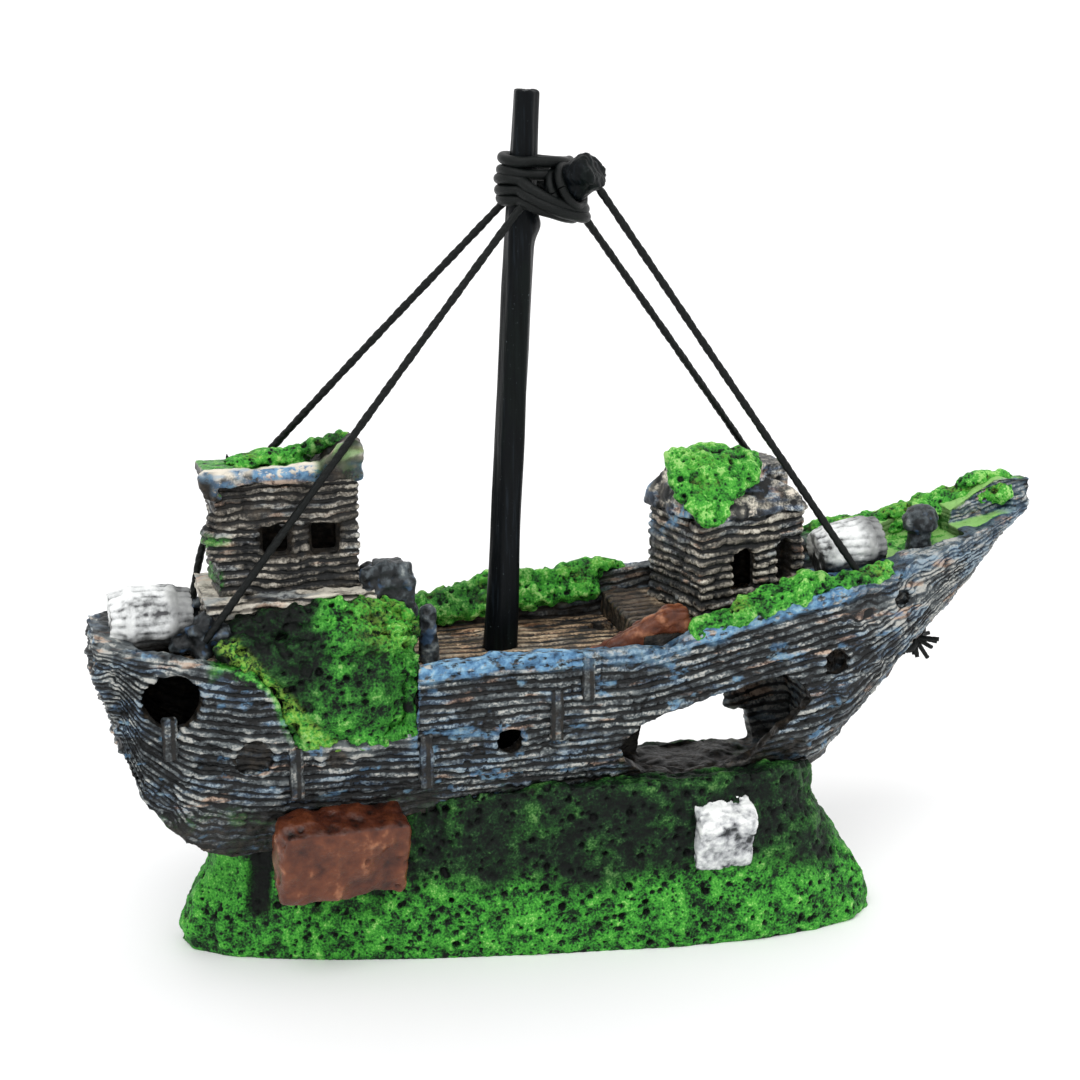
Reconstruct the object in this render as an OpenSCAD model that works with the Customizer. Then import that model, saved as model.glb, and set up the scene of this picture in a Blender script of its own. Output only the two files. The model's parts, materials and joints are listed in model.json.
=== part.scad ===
// Wrecked sailing boat on a mossy rock: a hollow cast tank ornament with an air stone inside.
// +X points to the bow, -Y is the side with the wide breach, and Z = 0 is the tank floor.

/* [Hull] */
// Half of the hull's greatest beam
half_beam = 12.5; // [12:0.25:13]
// Thickness of the planked sides
hull_wall = 2.5; // [2.25:0.25:2.75]
// Height of the waist deck
deck_z = 40.5; // [40:0.25:41]
// Thickness of the deck planking
deck_t = 2; // [1.5:0.25:2.5]

/* [Cabins] */
// Thickness of the cabin walls
cabin_wall = 1.8; // [1.5:0.1:2]
// Length of the stern cabin
stern_cabin_len = 18.5; // [17:0.5:19]
// Length of the fore cabin
fore_cabin_len = 17; // [16:0.5:17.5]
// Turn of the fore cabin away from the keel line
fore_cabin_turn = 14; // [12:1:15]

/* [Rig] */
// Height of the mast's cut top
mast_top_z = 114.4; // [112:0.2:116]
// Mast diameter at the deck
mast_d = 4.6; // [4.4:0.1:4.7]
// Mast diameter at its top
mast_top_d = 3.2; // [3:0.1:3.4]
// Diameter of the broken yard
yard_d = 4.4; // [4.2:0.1:4.8]
// Thickness of the rigging cord
cord_d = 1.05; // [0.9:0.05:1.1]

/* [Air supply] */
// Outside diameter of the spigot that takes the airline
spigot_d = 4; // [3.8:0.1:4.2]
// Bore of the air pipe
air_bore_d = 2.2; // [1.8:0.1:2.4]
// Diameter of the air stone
stone_d = 8; // [7:0.5:9]

/* [Hidden] */

eps = 0.01;
far_away = 40;          // longer than any cut needs to be

// ---- Hull lines -------------------------------------------------------------------------
stern_x = -66;
bow_x = 66.3;
stations = [stern_x, -64, -61, -56, -50, -30, -10, 10, 22, 30, 36, 42, 48, 54, 60, 64, bow_x];
cap_z = 64;             // the hull is lofted up to here and then cut to its sheer
floor_z = 20.5;         // inside floor of the hull
cavity_x = [-61, 33];   // ends of the hollow
knuckle_z = 33;         // the inside walls are upright above this height

function keel_z(x) = lookup(x, [[stern_x, 45], [-64, 36], [-61, 26.5], [-56, 20.5], [-50, 16.5],
    [30, 16.5], [32, 18], [bow_x, 55.6]]);
function beam(x) = half_beam * lookup(x, [[stern_x, 0.78], [-64, 0.9], [-50, 1], [30, 1],
    [36, 0.97], [42, 0.88], [48, 0.74], [54, 0.56], [60, 0.36], [bow_x, 0.12]]);
// Share of the full beam that the flat of the keel takes
function fullness(x) = lookup(x, [[stern_x, 0.95], [-56, 0.8], [-48, 0.45], [20, 0.4],
    [40, 0.18], [bow_x, 0.3]]);
function inner_beam(x) = beam(x) - hull_wall;

near_sheer = [[-70, 49.4], [-66, 48.8], [-47, 44.2], [-44, 40], [-42, 33.6], [-26, 33.6],
    [-25.5, 42.6], [-15, 43.4], [4, 42.6], [8, 42.2], [13, 44.7], [25, 47.4], [42, 50.4],
    [54, 53], [70, 56.6]];
far_sheer = [[-70, 46.6], [-60, 46.4], [-30, 43], [-17, 42.8], [-9, 46.4], [12, 47],
    [42, 51.4], [53, 54.4], [61, 59.2], [70, 58.6]];

near_breach = [[1.5, 28.5], [5, 32], [11, 34], [21, 36.5], [25, 37], [28, 35], [29, 33],
    [25, 29], [20.5, 24], [13, 22.5], [6, 24], [3, 26]];
far_breach = [[9.5, floor_z], [12, 26], [13, 33], [26, 35], [27.5, 27], [27, floor_z]];

// ---- Cabins -----------------------------------------------------------------------------
stern_deck_z = 45.3;
plinth_top_z = 52;
stern_cabin_x = -50.1;
stern_cabin_y = -5.2;
stern_cabin_w = 11.5;
stern_cabin_top = 66.6;
fore_deck_z = 43.8;
fore_cabin_corner = [14.4, -7];
fore_cabin_w = 13.5;
fore_cabin_top = 57.5;
fore_deck_x = 5.5;
hold_x = -46;           // aft of here the hold reaches up to the thin stern deck

// ---- Rig --------------------------------------------------------------------------------
mast_foot = [-11.8, 0, deck_z];
mast_top_x = -8;
mast_lean = atan((mast_top_x - mast_foot[0]) / (mast_top_z - deck_z));
mast_len = (mast_top_z - deck_z) / cos(mast_lean);
mast_play = 0.08;       // radial gap that lets the lashing turn on the mast
lash_h = 62.6;          // middle of the lashing, measured along the mast
lash_turns = 5;
lash_pitch = 1.45;
lash_r = 0.9;
yard_base = [-4.7, -2.2, 101.2];
yard_len = 6.6;
yard_turn = -45;        // heading of the yard in plan
yard_rise = 31;         // the yard points upwards by this much
cord_sides = 8;

function mast_r(h) = (mast_d + (mast_top_d - mast_d) * h / mast_len) / 2;

// Routes of the four stays, from the deck up to the lashing
near_backstay_route = [[-52.4, -9.2, 47.6], [-38.5, -7.2, 64.8], [-24.6, -5.1, 81.8], [-10.8, -3.1, 98.5]];
far_backstay_route = [[-52.4, 7.2, 47.2], [-51.7, 7.9, 50.6], [-50.6, 8.6, 54.6], [-49.3, 9, 58],
    [-47.6, 9, 60.7], [-45.4, 8.6, 63.2], [-30, 5.5, 79.8], [-12.1, 2, 98.6]];
near_forestay_route = [[36.6, -10.4, 49], [24.6, -8.2, 66.7], [12.7, -6, 84.3], [0.7, -3.8, 102]];
far_forestay_route = [[36.3, 11.1, 50.2], [26.4, 8, 63.3], [12.9, 3.7, 81.1], [-0.7, -0.6, 98.9]];

// ---- Rock and air supply ------------------------------------------------------------------
rock_skew = -0.1;       // the rock lies askew under the keel
rock_tilt = 0.17;       // and stands higher against the hull on the breach side
air_x = -4;
spigot_z = 4.5;
spigot_tip_y = 13;
pocket_y = 5;
glue_gap = 0.05;

// ---- Shape helpers ------------------------------------------------------------------------

// Closed solid through rings of equal length. The rings run clockwise seen from the last one.
module loft(rings) {
    n = len(rings[0]);
    last = (len(rings) - 1) * n;
    polyhedron(
        points = [for (r = rings) each r],
        faces = concat(
            [[for (j = [0:n - 1]) j]],
            [for (i = [0:len(rings) - 2], j = [0:n - 1], half = [0, 1])
                let (a = i * n + j, b = i * n + (j + 1) % n)
                half == 0 ? [a, a + n, b + n] : [a, b + n, b]],
            [[for (j = [n - 1:-1:0]) last + j]]
        ),
        convexity = 6
    );
}

// Side view drawn in X and Z, extruded from y0 to y1
module side_cut(points, y0, y1) {
    translate([0, y1, 0]) rotate([90, 0, 0]) linear_extrude(y1 - y0) polygon(points);
}

// Plan outline of the inside of the hull between two stations
function plan(x0, x1) = let (xs = concat([x0], [for (x = stations) if (x > x0 && x < x1) x], [x1]))
    concat([for (x = xs) [x, -inner_beam(x)]], [for (i = [len(xs) - 1:-1:0]) [xs[i], inner_beam(xs[i])]]);

module hull_slab(x0, x1, z0, z1) {
    translate([0, 0, z0]) linear_extrude(z1 - z0) polygon(plan(x0, x1));
}

function outer_ring(x) = let (
        up = [0, 0.05, 0.1, 0.17, 0.25, 0.36, 1],
        full = fullness(x),
        half = [for (f = up) [beam(x) * (full + (1 - full) * sin(90 * min(1, f / 0.36))),
            keel_z(x) + f * (cap_z - keel_z(x))]])
    concat([for (p = half) [x, p[0], p[1]]], [for (i = [len(half) - 1:-1:0]) [x, -half[i][0], half[i][1]]]);

function cavity_ring(x) = let (
        b = inner_beam(x),
        bottom = max(floor_z, keel_z(x) + 4),
        half = [[b * 0.5, bottom], [b * 0.8, bottom + 5], [b, max(knuckle_z, bottom + 7)], [b, cap_z + 6]])
    concat([for (p = half) [x, p[0], p[1]]], [for (i = [3:-1:0]) [x, -half[i][0], half[i][1]]]);

// Squashed ring around the rock at height z, tilted so that the breach side stands higher
function rock_ring(z, x0, x1, w, tilt) = let (cx = (x0 + x1) / 2, a = (x1 - x0) / 2)
    [for (t = [360:-15:15]) let (c = cos(t), s = sin(t),
        u = sign(c) * pow(abs(c), 0.77), v = sign(s) * pow(abs(s), 0.77),
        y = (w + 3 * u) * v + rock_skew * a * u)
        [cx + a * u, y, z - tilt * y]];

// Low mound with an oval foot, used for the patches of moss
module mound(l, w, h) {
    loft([for (r = [[0, 1], [0.45, 0.92], [0.8, 0.7], [1, 0.35]])
        [for (t = [360:-22.5:22.5]) [l / 2 * r[1] * cos(t), w / 2 * r[1] * sin(t), h * r[0]]]]);
}

// Round tube along a route of points
module tube(route, d) {
    ends = len(route) - 1;
    loft([for (i = [0:ends]) let (
            way = route[min(i + 1, ends)] - route[max(i - 1, 0)],
            w = way / norm(way),
            side = cross(w, [0, 1, 0]) / norm(cross(w, [0, 1, 0])),
            up = cross(side, w))
        [for (k = [0:cord_sides - 1]) let (t = k * 360 / cord_sides)
            route[i] + d / 2 * (cos(t) * side + sin(t) * up)]]);
}

module at_mast() {
    translate(mast_foot) rotate([0, mast_lean, 0]) children();
}

module at_yard() {
    translate(yard_base) rotate([0, 0, yard_turn]) rotate([0, 90 - yard_rise, 0]) children();
}

module at_fore_cabin(z) {
    translate([fore_cabin_corner[0], fore_cabin_corner[1], z]) rotate([0, 0, fore_cabin_turn]) children();
}

// Arched window drawn upright, cut along +Y from the origin
module arch_cut(w, h, depth) {
    translate([0, depth, 0]) rotate([90, 0, 0]) linear_extrude(depth) {
        translate([-w / 2, 0]) square([w, h - w / 2]);
        translate([0, h - w / 2]) circle(d = w, $fn = 32);
    }
}

// End view drawn in Y and Z, extruded from x0 to x1
module end_cut(points, x0, x1) {
    translate([x0, 0, 0]) rotate([90, 0, 90]) linear_extrude(x1 - x0) polygon(points);
}

module port_cut(x, z, d, y, depth) {
    translate([x, y, z]) rotate([-90, 0, 0]) cylinder(d = d, h = depth, $fn = 48);
}

// ---- Rock ---------------------------------------------------------------------------------

module rock_base() {
    color([0.16, 0.5, 0.13]) difference() {
        loft([
            rock_ring(0, -56.2, 41, 13, 0),
            rock_ring(3, -56.7, 40.8, 13.3, 0),
            rock_ring(7, -55.3, 38.6, 12.8, 0),
            rock_ring(12, -52.6, 35.2, 12.2, 0.04),
            rock_ring(17, -52.2, 31.6, 12, 0.1),
            rock_ring(21.8, -47, 31.4, 11.6, rock_tilt)
        ]);
        loft([for (x = stations) outer_ring(x)]);
        translate([air_x - 5, pocket_y, -eps]) cube([10, far_away, 9]);
        translate([air_x, -eps, spigot_z]) rotate([-90, 0, 0])
            cylinder(d = spigot_d + 2 * glue_gap, h = pocket_y + 1, $fn = 48);
        translate([air_x, 0, spigot_z]) sphere(d = spigot_d + 2 * glue_gap, $fn = 48);
        translate([air_x, 0, spigot_z]) cylinder(d = spigot_d + 2 * glue_gap, h = 20, $fn = 48);
    }
}

module brown_block() {
    color([0.42, 0.19, 0.12]) translate([-36.4, -11.4, 18]) rotate([12, 2, 6])
        translate([-8.4, -3.6, -5.4]) cube([16.8, 6.5, 10.8]);
}

module white_stone() {
    color([0.72, 0.72, 0.7]) translate([15.6, -14, 15.8]) rotate([18, 0, 0])
        translate([-4.2, -3, -4.4]) cube([8.4, 6, 8.8]);
}

// ---- Hull ---------------------------------------------------------------------------------

module hull_shell() {
    sheer_top = cap_z + 5;
    color([0.36, 0.33, 0.3]) difference() {
        loft([for (x = stations) outer_ring(x)]);
        loft([for (x = concat([cavity_x[0]], [for (x = stations)
            if (x > cavity_x[0] && x < cavity_x[1]) x], [cavity_x[1]])) cavity_ring(x)]);
        side_cut(concat(near_sheer, [[70, sheer_top], [-70, sheer_top]]), -far_away, 0);
        side_cut(concat(far_sheer, [[70, sheer_top], [-70, sheer_top]]), -eps, far_away);
        // the foredeck lies between the rails
        side_cut([[32, 47.4], [54, 51.4], [54, sheer_top], [32, sheer_top]], -5, 5);
        side_cut(near_breach, -far_away, -4);
        side_cut(far_breach, 4, far_away);
        port_cut(-57, 40.8, 7.4, -far_away, far_away - 3);
        port_cut(-13.5, 31.4, 3.6, -far_away, far_away - 3);
        port_cut(-47, 32.6, 4.8, -half_beam - 1, 2.4);
        port_cut(32.4, 38.2, 3.4, -half_beam - 1, 3.6);
        port_cut(42.2, 46, 2.6, -half_beam - 1, 4.4);
        port_cut(-36.5, 33, 6, 3, far_away);
        port_cut(-13.5, 31.4, 3.6, 3, far_away);
        translate([air_x, 0, 12]) cylinder(d = spigot_d + 2 * glue_gap, h = 12, $fn = 48);
    }
}

module hull_battens() {
    // x, lower end, upper end
    strips = [[-57.6, 33.4, 38.8], [-41.8, 26.4, 33.4], [-24.8, 26, 33.6], [-7.2, 31, 38], [-3, 36, 42.2]];
    color([0.24, 0.21, 0.18]) for (s = strips, side = [-1, 1])
        translate([s[0] - 0.9, side * (half_beam - 0.3) - 0.75, s[1]]) cube([1.8, 1.5, s[2] - s[1]]);
}

module main_deck() {
    color([0.5, 0.36, 0.22]) difference() {
        hull_slab(hold_x, cavity_x[1], deck_z - deck_t, deck_z);
        at_mast() cylinder(d = mast_d + 2 * glue_gap, h = 12, center = true, $fn = 48);
        // vent that lets the bubbles rise through the deck
        translate([4, 5, deck_z - deck_t - 1]) cylinder(d = 3.4, h = deck_t + 2, $fn = 48);
    }
}

module fore_deck() {
    color([0.45, 0.33, 0.21]) hull_slab(fore_deck_x, cavity_x[1], deck_z, fore_deck_z);
}

module stern_deck() {
    thin = 1.5;
    color([0.3, 0.28, 0.26]) {
        hull_slab(cavity_x[0], hold_x, stern_deck_z - thin, stern_deck_z);
        hull_slab(hold_x, -29, deck_z, stern_deck_z);
    }
}

// ---- Stern cabin ----------------------------------------------------------------------------

module cabin_plinth() {
    step_t = 1.6;
    color([0.34, 0.3, 0.24]) {
        translate([-51.6, -7, stern_deck_z]) cube([21.2, 13.6, plinth_top_z - step_t - stern_deck_z]);
        translate([-52, -7.8, plinth_top_z - step_t]) cube([22, 14.8, step_t]);
    }
}

module stern_cabin() {
    h = stern_cabin_top - plinth_top_z;
    w = stern_cabin_w;
    color([0.36, 0.3, 0.22]) translate([stern_cabin_x, stern_cabin_y, plinth_top_z]) difference() {
        cube([stern_cabin_len, w, h]);
        translate([cabin_wall, cabin_wall, -eps])
            cube([stern_cabin_len - 2 * cabin_wall, w - 2 * cabin_wall, h + 1]);
        for (x = [7.7, 14]) translate([x - 1.6, -1, 5.2]) cube([3.2, cabin_wall + 2, 3.6]);
        for (x = [4.5, 11]) translate([x - 1.6, w - cabin_wall - 1, 6.2]) cube([3.2, cabin_wall + 2, 3.2]);
        translate([-1, w / 2, 4.5]) rotate([0, 90, 0]) cylinder(d = 3.4, h = 4, $fn = 48);
    }
}

module stern_cabin_roof() {
    near_y = -5.8;
    color([0.45, 0.55, 0.68]) {
        end_cut([[near_y, stern_cabin_top], [6.9, stern_cabin_top], [6.9, 67.4], [near_y, 68.9]], -51.2, -31.2);
        side_cut([[-37, 68], [-31.2, 68], [-31.2, 71.4], [-32.4, 71.9], [-34, 71]], near_y, -1);
    }
}

module stern_barrel() {
    color([0.85, 0.85, 0.83]) translate([-58.6, -3.4, stern_deck_z + 4.2]) rotate([0, 90, 0])
        rotate_extrude($fn = 64) polygon([[0, -5.2], [3.5, -5.2], [4.2, -2], [4.2, 2], [3.5, 5.2], [0, 5.2]]);
}

// Lumps that the two backstays are tied down to
module stern_cleats() {
    color([0.2, 0.2, 0.2]) for (p = [[-52.8, -8.2, 2.8], [-53, 7, 2.2]])
        translate([p[0], p[1], stern_deck_z]) cylinder(d1 = 3.2, d2 = 2.6, h = p[2], $fn = 32);
}

module rubble_block() {
    color([0.32, 0.31, 0.3]) translate([-29.4, -6.8, stern_deck_z]) {
        cube([4.6, 7, 7.6]);
        translate([0, 1, 7.6]) cube([3.6, 4.6, 1.8]);
    }
}

module deck_post() {
    color([0.25, 0.27, 0.3]) translate([-22.6, -4, deck_z]) {
        cylinder(d = 2.4, h = 7, $fn = 32);
        translate([0, 0, 7]) sphere(d = 2.4, $fn = 32);
    }
}

// ---- Fore cabin -------------------------------------------------------------------------------

module fore_cabin() {
    h = fore_cabin_top - fore_deck_z;
    color([0.42, 0.34, 0.26]) at_fore_cabin(fore_deck_z) difference() {
        cube([fore_cabin_len, fore_cabin_w, h]);
        translate([cabin_wall, cabin_wall, -eps])
            cube([fore_cabin_len - 2 * cabin_wall, fore_cabin_w - 2 * cabin_wall, h + 1]);
        translate([7.2, -1, 3.4]) arch_cut(3.8, 5.9, cabin_wall + 2);
        translate([14, -1, 4]) arch_cut(2.8, 5.6, cabin_wall + 2);
        translate([4.4, fore_cabin_w - cabin_wall - 1, 3.4]) arch_cut(3.4, 5.6, cabin_wall + 2);
        translate([11, fore_cabin_w - cabin_wall - 1, 3.4]) arch_cut(3.4, 5.6, cabin_wall + 2);
    }
}

module fore_cabin_roof() {
    eave = 0.6;
    // outline of the roof at height z, drawn in from the walls by the four margins
    function ring(z, x0, y0, x1, y1) = [[x0, y0, z], [x0, fore_cabin_w - y1, z],
        [fore_cabin_len - x1, fore_cabin_w - y1, z], [fore_cabin_len - x1, y0, z]];
    color([0.4, 0.36, 0.32]) at_fore_cabin(fore_cabin_top) loft([
        ring(0, -eave, -eave, -eave, -eave),
        ring(2, -0.2, 0.4, 0.4, 0),
        ring(5.5, 1.6, 3, 5.4, 1.6),
        ring(7.6, 2.6, 4.6, 7.6, 3)
    ]);
}

module roof_hatch() {
    color([0.5, 0.42, 0.34]) at_fore_cabin(fore_cabin_top + 1) translate([9.6, 3, 0]) cube([6.4, 7, 5.2]);
}

module bow_barrel() {
    color([0.85, 0.85, 0.83]) translate([37.4, -2.6, 51.6]) rotate([0, 80, 0])
        rotate_extrude($fn = 64) polygon([[0, -4.8], [3.1, -4.8], [3.7, -2], [3.7, 2], [3.1, 4.8], [0, 4.8]]);
}

module bollard() {
    color([0.2, 0.21, 0.23]) translate([48.2, -2.8, 49.9]) rotate_extrude($fn = 64)
        polygon([[0, 0], [1.7, 0], [1.5, 3.2], [2.3, 3.7], [2.4, 5], [1.9, 6.2], [1, 6.8], [0, 6.9]]);
}

module fallen_plank() {
    color([0.5, 0.24, 0.13]) side_cut([[-1, deck_z], [5, deck_z], [5.5, 43.8], [12, 43.8], [11.6, 46.2],
        [9.4, 46.4], [-1, 41.4]], -9.6, -7.2);
}

// ---- Rig --------------------------------------------------------------------------------------

module mast() {
    heel = deck_t;
    color([0.08, 0.09, 0.11]) at_mast() {
        translate([0, 0, -heel]) cylinder(d = mast_d, h = heel + eps, $fn = 48);
        cylinder(d1 = mast_d, d2 = mast_top_d, h = mast_len, $fn = 48);
    }
}

module yard() {
    color([0.13, 0.14, 0.16]) at_yard() cylinder(d = yard_d, h = yard_len, $fn = 48);
}

module mast_lashing() {
    sleeve_r = mast_r(lash_h - lash_turns * lash_pitch / 2) + mast_play;
    reach = (lash_turns - 1) / 2;
    ring_r = yard_d / 2 + 0.4;
    color([0.06, 0.07, 0.07]) {
        at_mast() translate([0, 0, lash_h]) rotate_extrude($fn = 64) difference() {
            for (i = [-reach:reach]) translate([sleeve_r + 0.75, i * lash_pitch]) circle(r = lash_r, $fn = 32);
            translate([0, -far_away / 2]) square([sleeve_r, far_away]);
        }
        difference() {
            at_yard() translate([0, 0, 1.2]) rotate_extrude($fn = 64)
                translate([ring_r + 0.4, 0]) circle(r = 0.9, $fn = 32);
            at_mast() cylinder(r = sleeve_r + 0.3, h = mast_len, $fn = 48);
        }
    }
}

module near_backstay() {
    color([0.08, 0.09, 0.09]) tube(near_backstay_route, cord_d);
}

module far_backstay() {
    color([0.08, 0.09, 0.09]) tube(far_backstay_route, cord_d);
}

module near_forestay() {
    color([0.08, 0.09, 0.09]) tube(near_forestay_route, cord_d);
}

module far_forestay() {
    color([0.08, 0.09, 0.09]) tube(far_forestay_route, cord_d);
}

module bow_knot() {
    // each frayed end: turn in plan and drop below the level
    strands = [[-70, 80], [-40, 55], [-20, 30], [10, 10], [30, -20], [60, 45]];
    color([0.07, 0.08, 0.08]) translate([47.2, -4, 37]) {
        sphere(d = 3.4, $fn = 32);
        for (s = strands) rotate([0, s[1], s[0]]) rotate([0, 90, 0]) cylinder(d = 0.7, h = 4, $fn = 16);
    }
}

// ---- Moss ---------------------------------------------------------------------------------------

module waist_moss() {
    // moss that spills from the cabin's foot over the broken side; g swells the heap
    function ring(x, g) = [[x, -9.9, 33.7], [x, -12.6 - g, 33.7], [x, -12.9 - g, 38], [x, -12.4 - g, 43],
        [x, -10.8 - 0.6 * g, 46.6], [x, -8.6 - 0.3 * g, 50.2], [x, -7.1, 50.2], [x, -7.1, 45.4], [x, -9.9, 45.4]];
    color([0.2, 0.55, 0.16]) loft([for (r = [[-41.8, 0], [-39, 0.9], [-34, 1.4], [-29.5, 1.2], [-26.2, 0.2]])
        ring(r[0], r[1])]);
}

module stern_roof_moss() {
    color([0.2, 0.6, 0.16]) translate([-42.4, 0.6, 68.2]) rotate([-6.7, 0, 0]) mound(12, 9, 1.3);
}

module fore_roof_moss() {
    color([0.2, 0.6, 0.16]) at_fore_cabin(fore_cabin_top + 7.5) translate([5.6, 7.4, 0]) mound(8, 7, 1);
}

module bulwark_moss() {
    color([0.2, 0.55, 0.16]) for (p = [[-19.5, 42.4, 8], [-8.6, 46.2, 9], [4.4, 46.8, 10]])
        translate([p[0], half_beam - 1.2, p[1]]) mound(p[2], 3.4, 1.6);
}

module near_bow_moss() {
    color([0.2, 0.6, 0.16]) for (p = [[16, 45.2, 10], [25.6, 47.3, 11], [35.6, 49, 11]])
        translate([p[0], 1.1 - half_beam, p[1]]) rotate([0, -8, 0]) mound(p[2], 3.2, 1.6);
}

module far_bow_moss() {
    // x, y, height and length of each pad on the far rail
    pads = [[40, 9, 51, 11], [50, 5.6, 53.4, 10], [59.4, 3, 58, 6.5]];
    color([0.2, 0.6, 0.16]) for (p = pads)
        translate([p[0], p[1], p[2]]) rotate([0, -14, -24]) mound(p[3], 3.6, 1.5);
}

// ---- Air supply -----------------------------------------------------------------------------------

module air_elbow() {
    riser_top = 26;
    color([0.15, 0.15, 0.16]) difference() {
        union() {
            translate([air_x, 0, spigot_z]) rotate([-90, 0, 0]) cylinder(d = spigot_d, h = spigot_tip_y, $fn = 48);
            translate([air_x, pocket_y, spigot_z]) rotate([-90, 0, 0]) cylinder(d = spigot_d + 2, h = 1, $fn = 48);
            translate([air_x, 0, spigot_z]) sphere(d = spigot_d, $fn = 48);
            translate([air_x, 0, spigot_z]) cylinder(d = spigot_d, h = riser_top - spigot_z, $fn = 48);
        }
        translate([air_x, 0, spigot_z]) rotate([-90, 0, 0]) cylinder(d = air_bore_d, h = far_away, $fn = 48);
        translate([air_x, 0, spigot_z]) cylinder(d = air_bore_d, h = far_away, $fn = 48);
    }
}

module air_grommet() {
    color([0.1, 0.1, 0.1]) translate([air_x, 0, floor_z]) difference() {
        cylinder(d = 7, h = 1.2, $fn = 48);
        translate([0, 0, -1]) cylinder(d = spigot_d + 2 * glue_gap, h = 4, $fn = 48);
    }
}

module air_stone() {
    color([0.55, 0.6, 0.65]) translate([air_x, 0, floor_z + 1.3]) difference() {
        cylinder(d = stone_d, h = 12, $fn = 48);
        translate([0, 0, -1]) cylinder(d = spigot_d + 2 * glue_gap, h = 5.5, $fn = 48);
    }
}

rock_base();
brown_block();
white_stone();
hull_shell();
hull_battens();
main_deck();
fore_deck();
stern_deck();
cabin_plinth();
stern_cabin();
stern_cabin_roof();
stern_barrel();
stern_cleats();
rubble_block();
deck_post();
fore_cabin();
fore_cabin_roof();
roof_hatch();
bow_barrel();
bollard();
fallen_plank();
mast();
yard();
mast_lashing();
near_backstay();
far_backstay();
near_forestay();
far_forestay();
bow_knot();
waist_moss();
stern_roof_moss();
fore_roof_moss();
bulwark_moss();
near_bow_moss();
far_bow_moss();
air_elbow();
air_grommet();
air_stone();
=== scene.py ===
"""Wrecked sailing boat ornament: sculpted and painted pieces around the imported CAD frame.

Each CAD solid is taken as a block, remeshed finely and carved by noise and plank grooves, and what the
carving knows (height, planks, moss, paint) is stored on its points for the materials. Shapes are worked
out in millimetres in the row frame, and become metres when a piece is placed.
"""
import json
import math

import bpy
import numpy as np
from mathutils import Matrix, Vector


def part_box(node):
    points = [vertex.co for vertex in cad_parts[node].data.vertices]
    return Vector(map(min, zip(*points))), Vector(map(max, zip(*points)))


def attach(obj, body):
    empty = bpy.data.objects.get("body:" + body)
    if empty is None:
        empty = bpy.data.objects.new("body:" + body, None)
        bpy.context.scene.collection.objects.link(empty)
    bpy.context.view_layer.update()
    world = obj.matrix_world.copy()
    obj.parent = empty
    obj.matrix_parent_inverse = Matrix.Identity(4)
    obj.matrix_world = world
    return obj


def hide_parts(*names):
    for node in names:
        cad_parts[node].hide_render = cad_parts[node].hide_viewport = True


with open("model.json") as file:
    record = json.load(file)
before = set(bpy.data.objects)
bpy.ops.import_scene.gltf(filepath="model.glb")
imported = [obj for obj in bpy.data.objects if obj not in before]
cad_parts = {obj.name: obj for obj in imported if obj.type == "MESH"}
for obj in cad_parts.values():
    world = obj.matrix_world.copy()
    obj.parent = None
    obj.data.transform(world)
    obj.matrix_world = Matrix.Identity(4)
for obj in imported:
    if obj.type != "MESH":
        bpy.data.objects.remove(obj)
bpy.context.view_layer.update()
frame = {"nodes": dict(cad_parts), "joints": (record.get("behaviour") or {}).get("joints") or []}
CAD = frame["nodes"]
MM = 0.001
ROOT = "ornament"
YARD = "yard"

# ---- Places taken from the frame -----------------------------------------------------------


def box_mm(node):
    low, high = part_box(node)
    return np.array(low) / MM, np.array(high) / MM


PIVOT = next(j for j in frame["joints"] if j["name"] == "yard_swivel")
MAST_POINT = np.array(PIVOT["pos_m"]) / MM
MAST_AXIS = np.array(PIVOT["axis"])
DECK_TOP = box_mm("main_deck")[1][2]

# ---- Camera --------------------------------------------------------------------------------

VIEW_TARGET = np.array([-6.2, 0.0, 55.0])
VIEW_AZIMUTH = math.radians(-15)
VIEW_ELEVATION = math.radians(16)
VIEW_DISTANCE = 275.0


def add_camera():
    lens = bpy.data.cameras.new("camera")
    lens.lens, lens.sensor_width = 68, 36
    lens.clip_start, lens.clip_end = 0.01, 100
    camera = bpy.data.objects.new("camera", lens)
    bpy.context.scene.collection.objects.link(camera)
    level = math.cos(VIEW_ELEVATION)
    back = np.array([math.sin(VIEW_AZIMUTH) * level, -math.cos(VIEW_AZIMUTH) * level,
                     math.sin(VIEW_ELEVATION)])
    camera.location = Vector((VIEW_TARGET + back * VIEW_DISTANCE) * MM)
    camera.rotation_mode = "QUATERNION"
    camera.rotation_quaternion = Vector(-back).to_track_quat("-Z", "Y")
    bpy.context.scene.camera = camera


# ---- Noise ---------------------------------------------------------------------------------


def hashed(i, j, k, seed):
    """A number from 0 to 1 for each whole-numbered place."""
    h = (i * 374761393 + j * 668265263 + k * 1440662683 + seed * 974634777) & 0xFFFFFFFF
    h = ((h ^ (h >> 13)) * 1274126177) & 0xFFFFFFFF
    h = ((h ^ (h >> 15)) * 1181783497) & 0xFFFFFFFF
    return (h ^ (h >> 16)) / 4294967296.0


def noise(p, size, seed=0):
    """Smooth noise from -1 to 1 with lumps about size across."""
    q = p / size
    cell = np.floor(q)
    f = q - cell
    f = f * f * (3 - 2 * f)
    cell = cell.astype(np.int64)
    total = np.zeros(len(p))
    for i in (0, 1):
        for j in (0, 1):
            for k in (0, 1):
                weight = (np.abs(1 - i - f[:, 0]) * np.abs(1 - j - f[:, 1]) * np.abs(1 - k - f[:, 2]))
                total += weight * hashed(cell[:, 0] + i, cell[:, 1] + j, cell[:, 2] + k, seed)
    return total * 2 - 1


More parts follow.
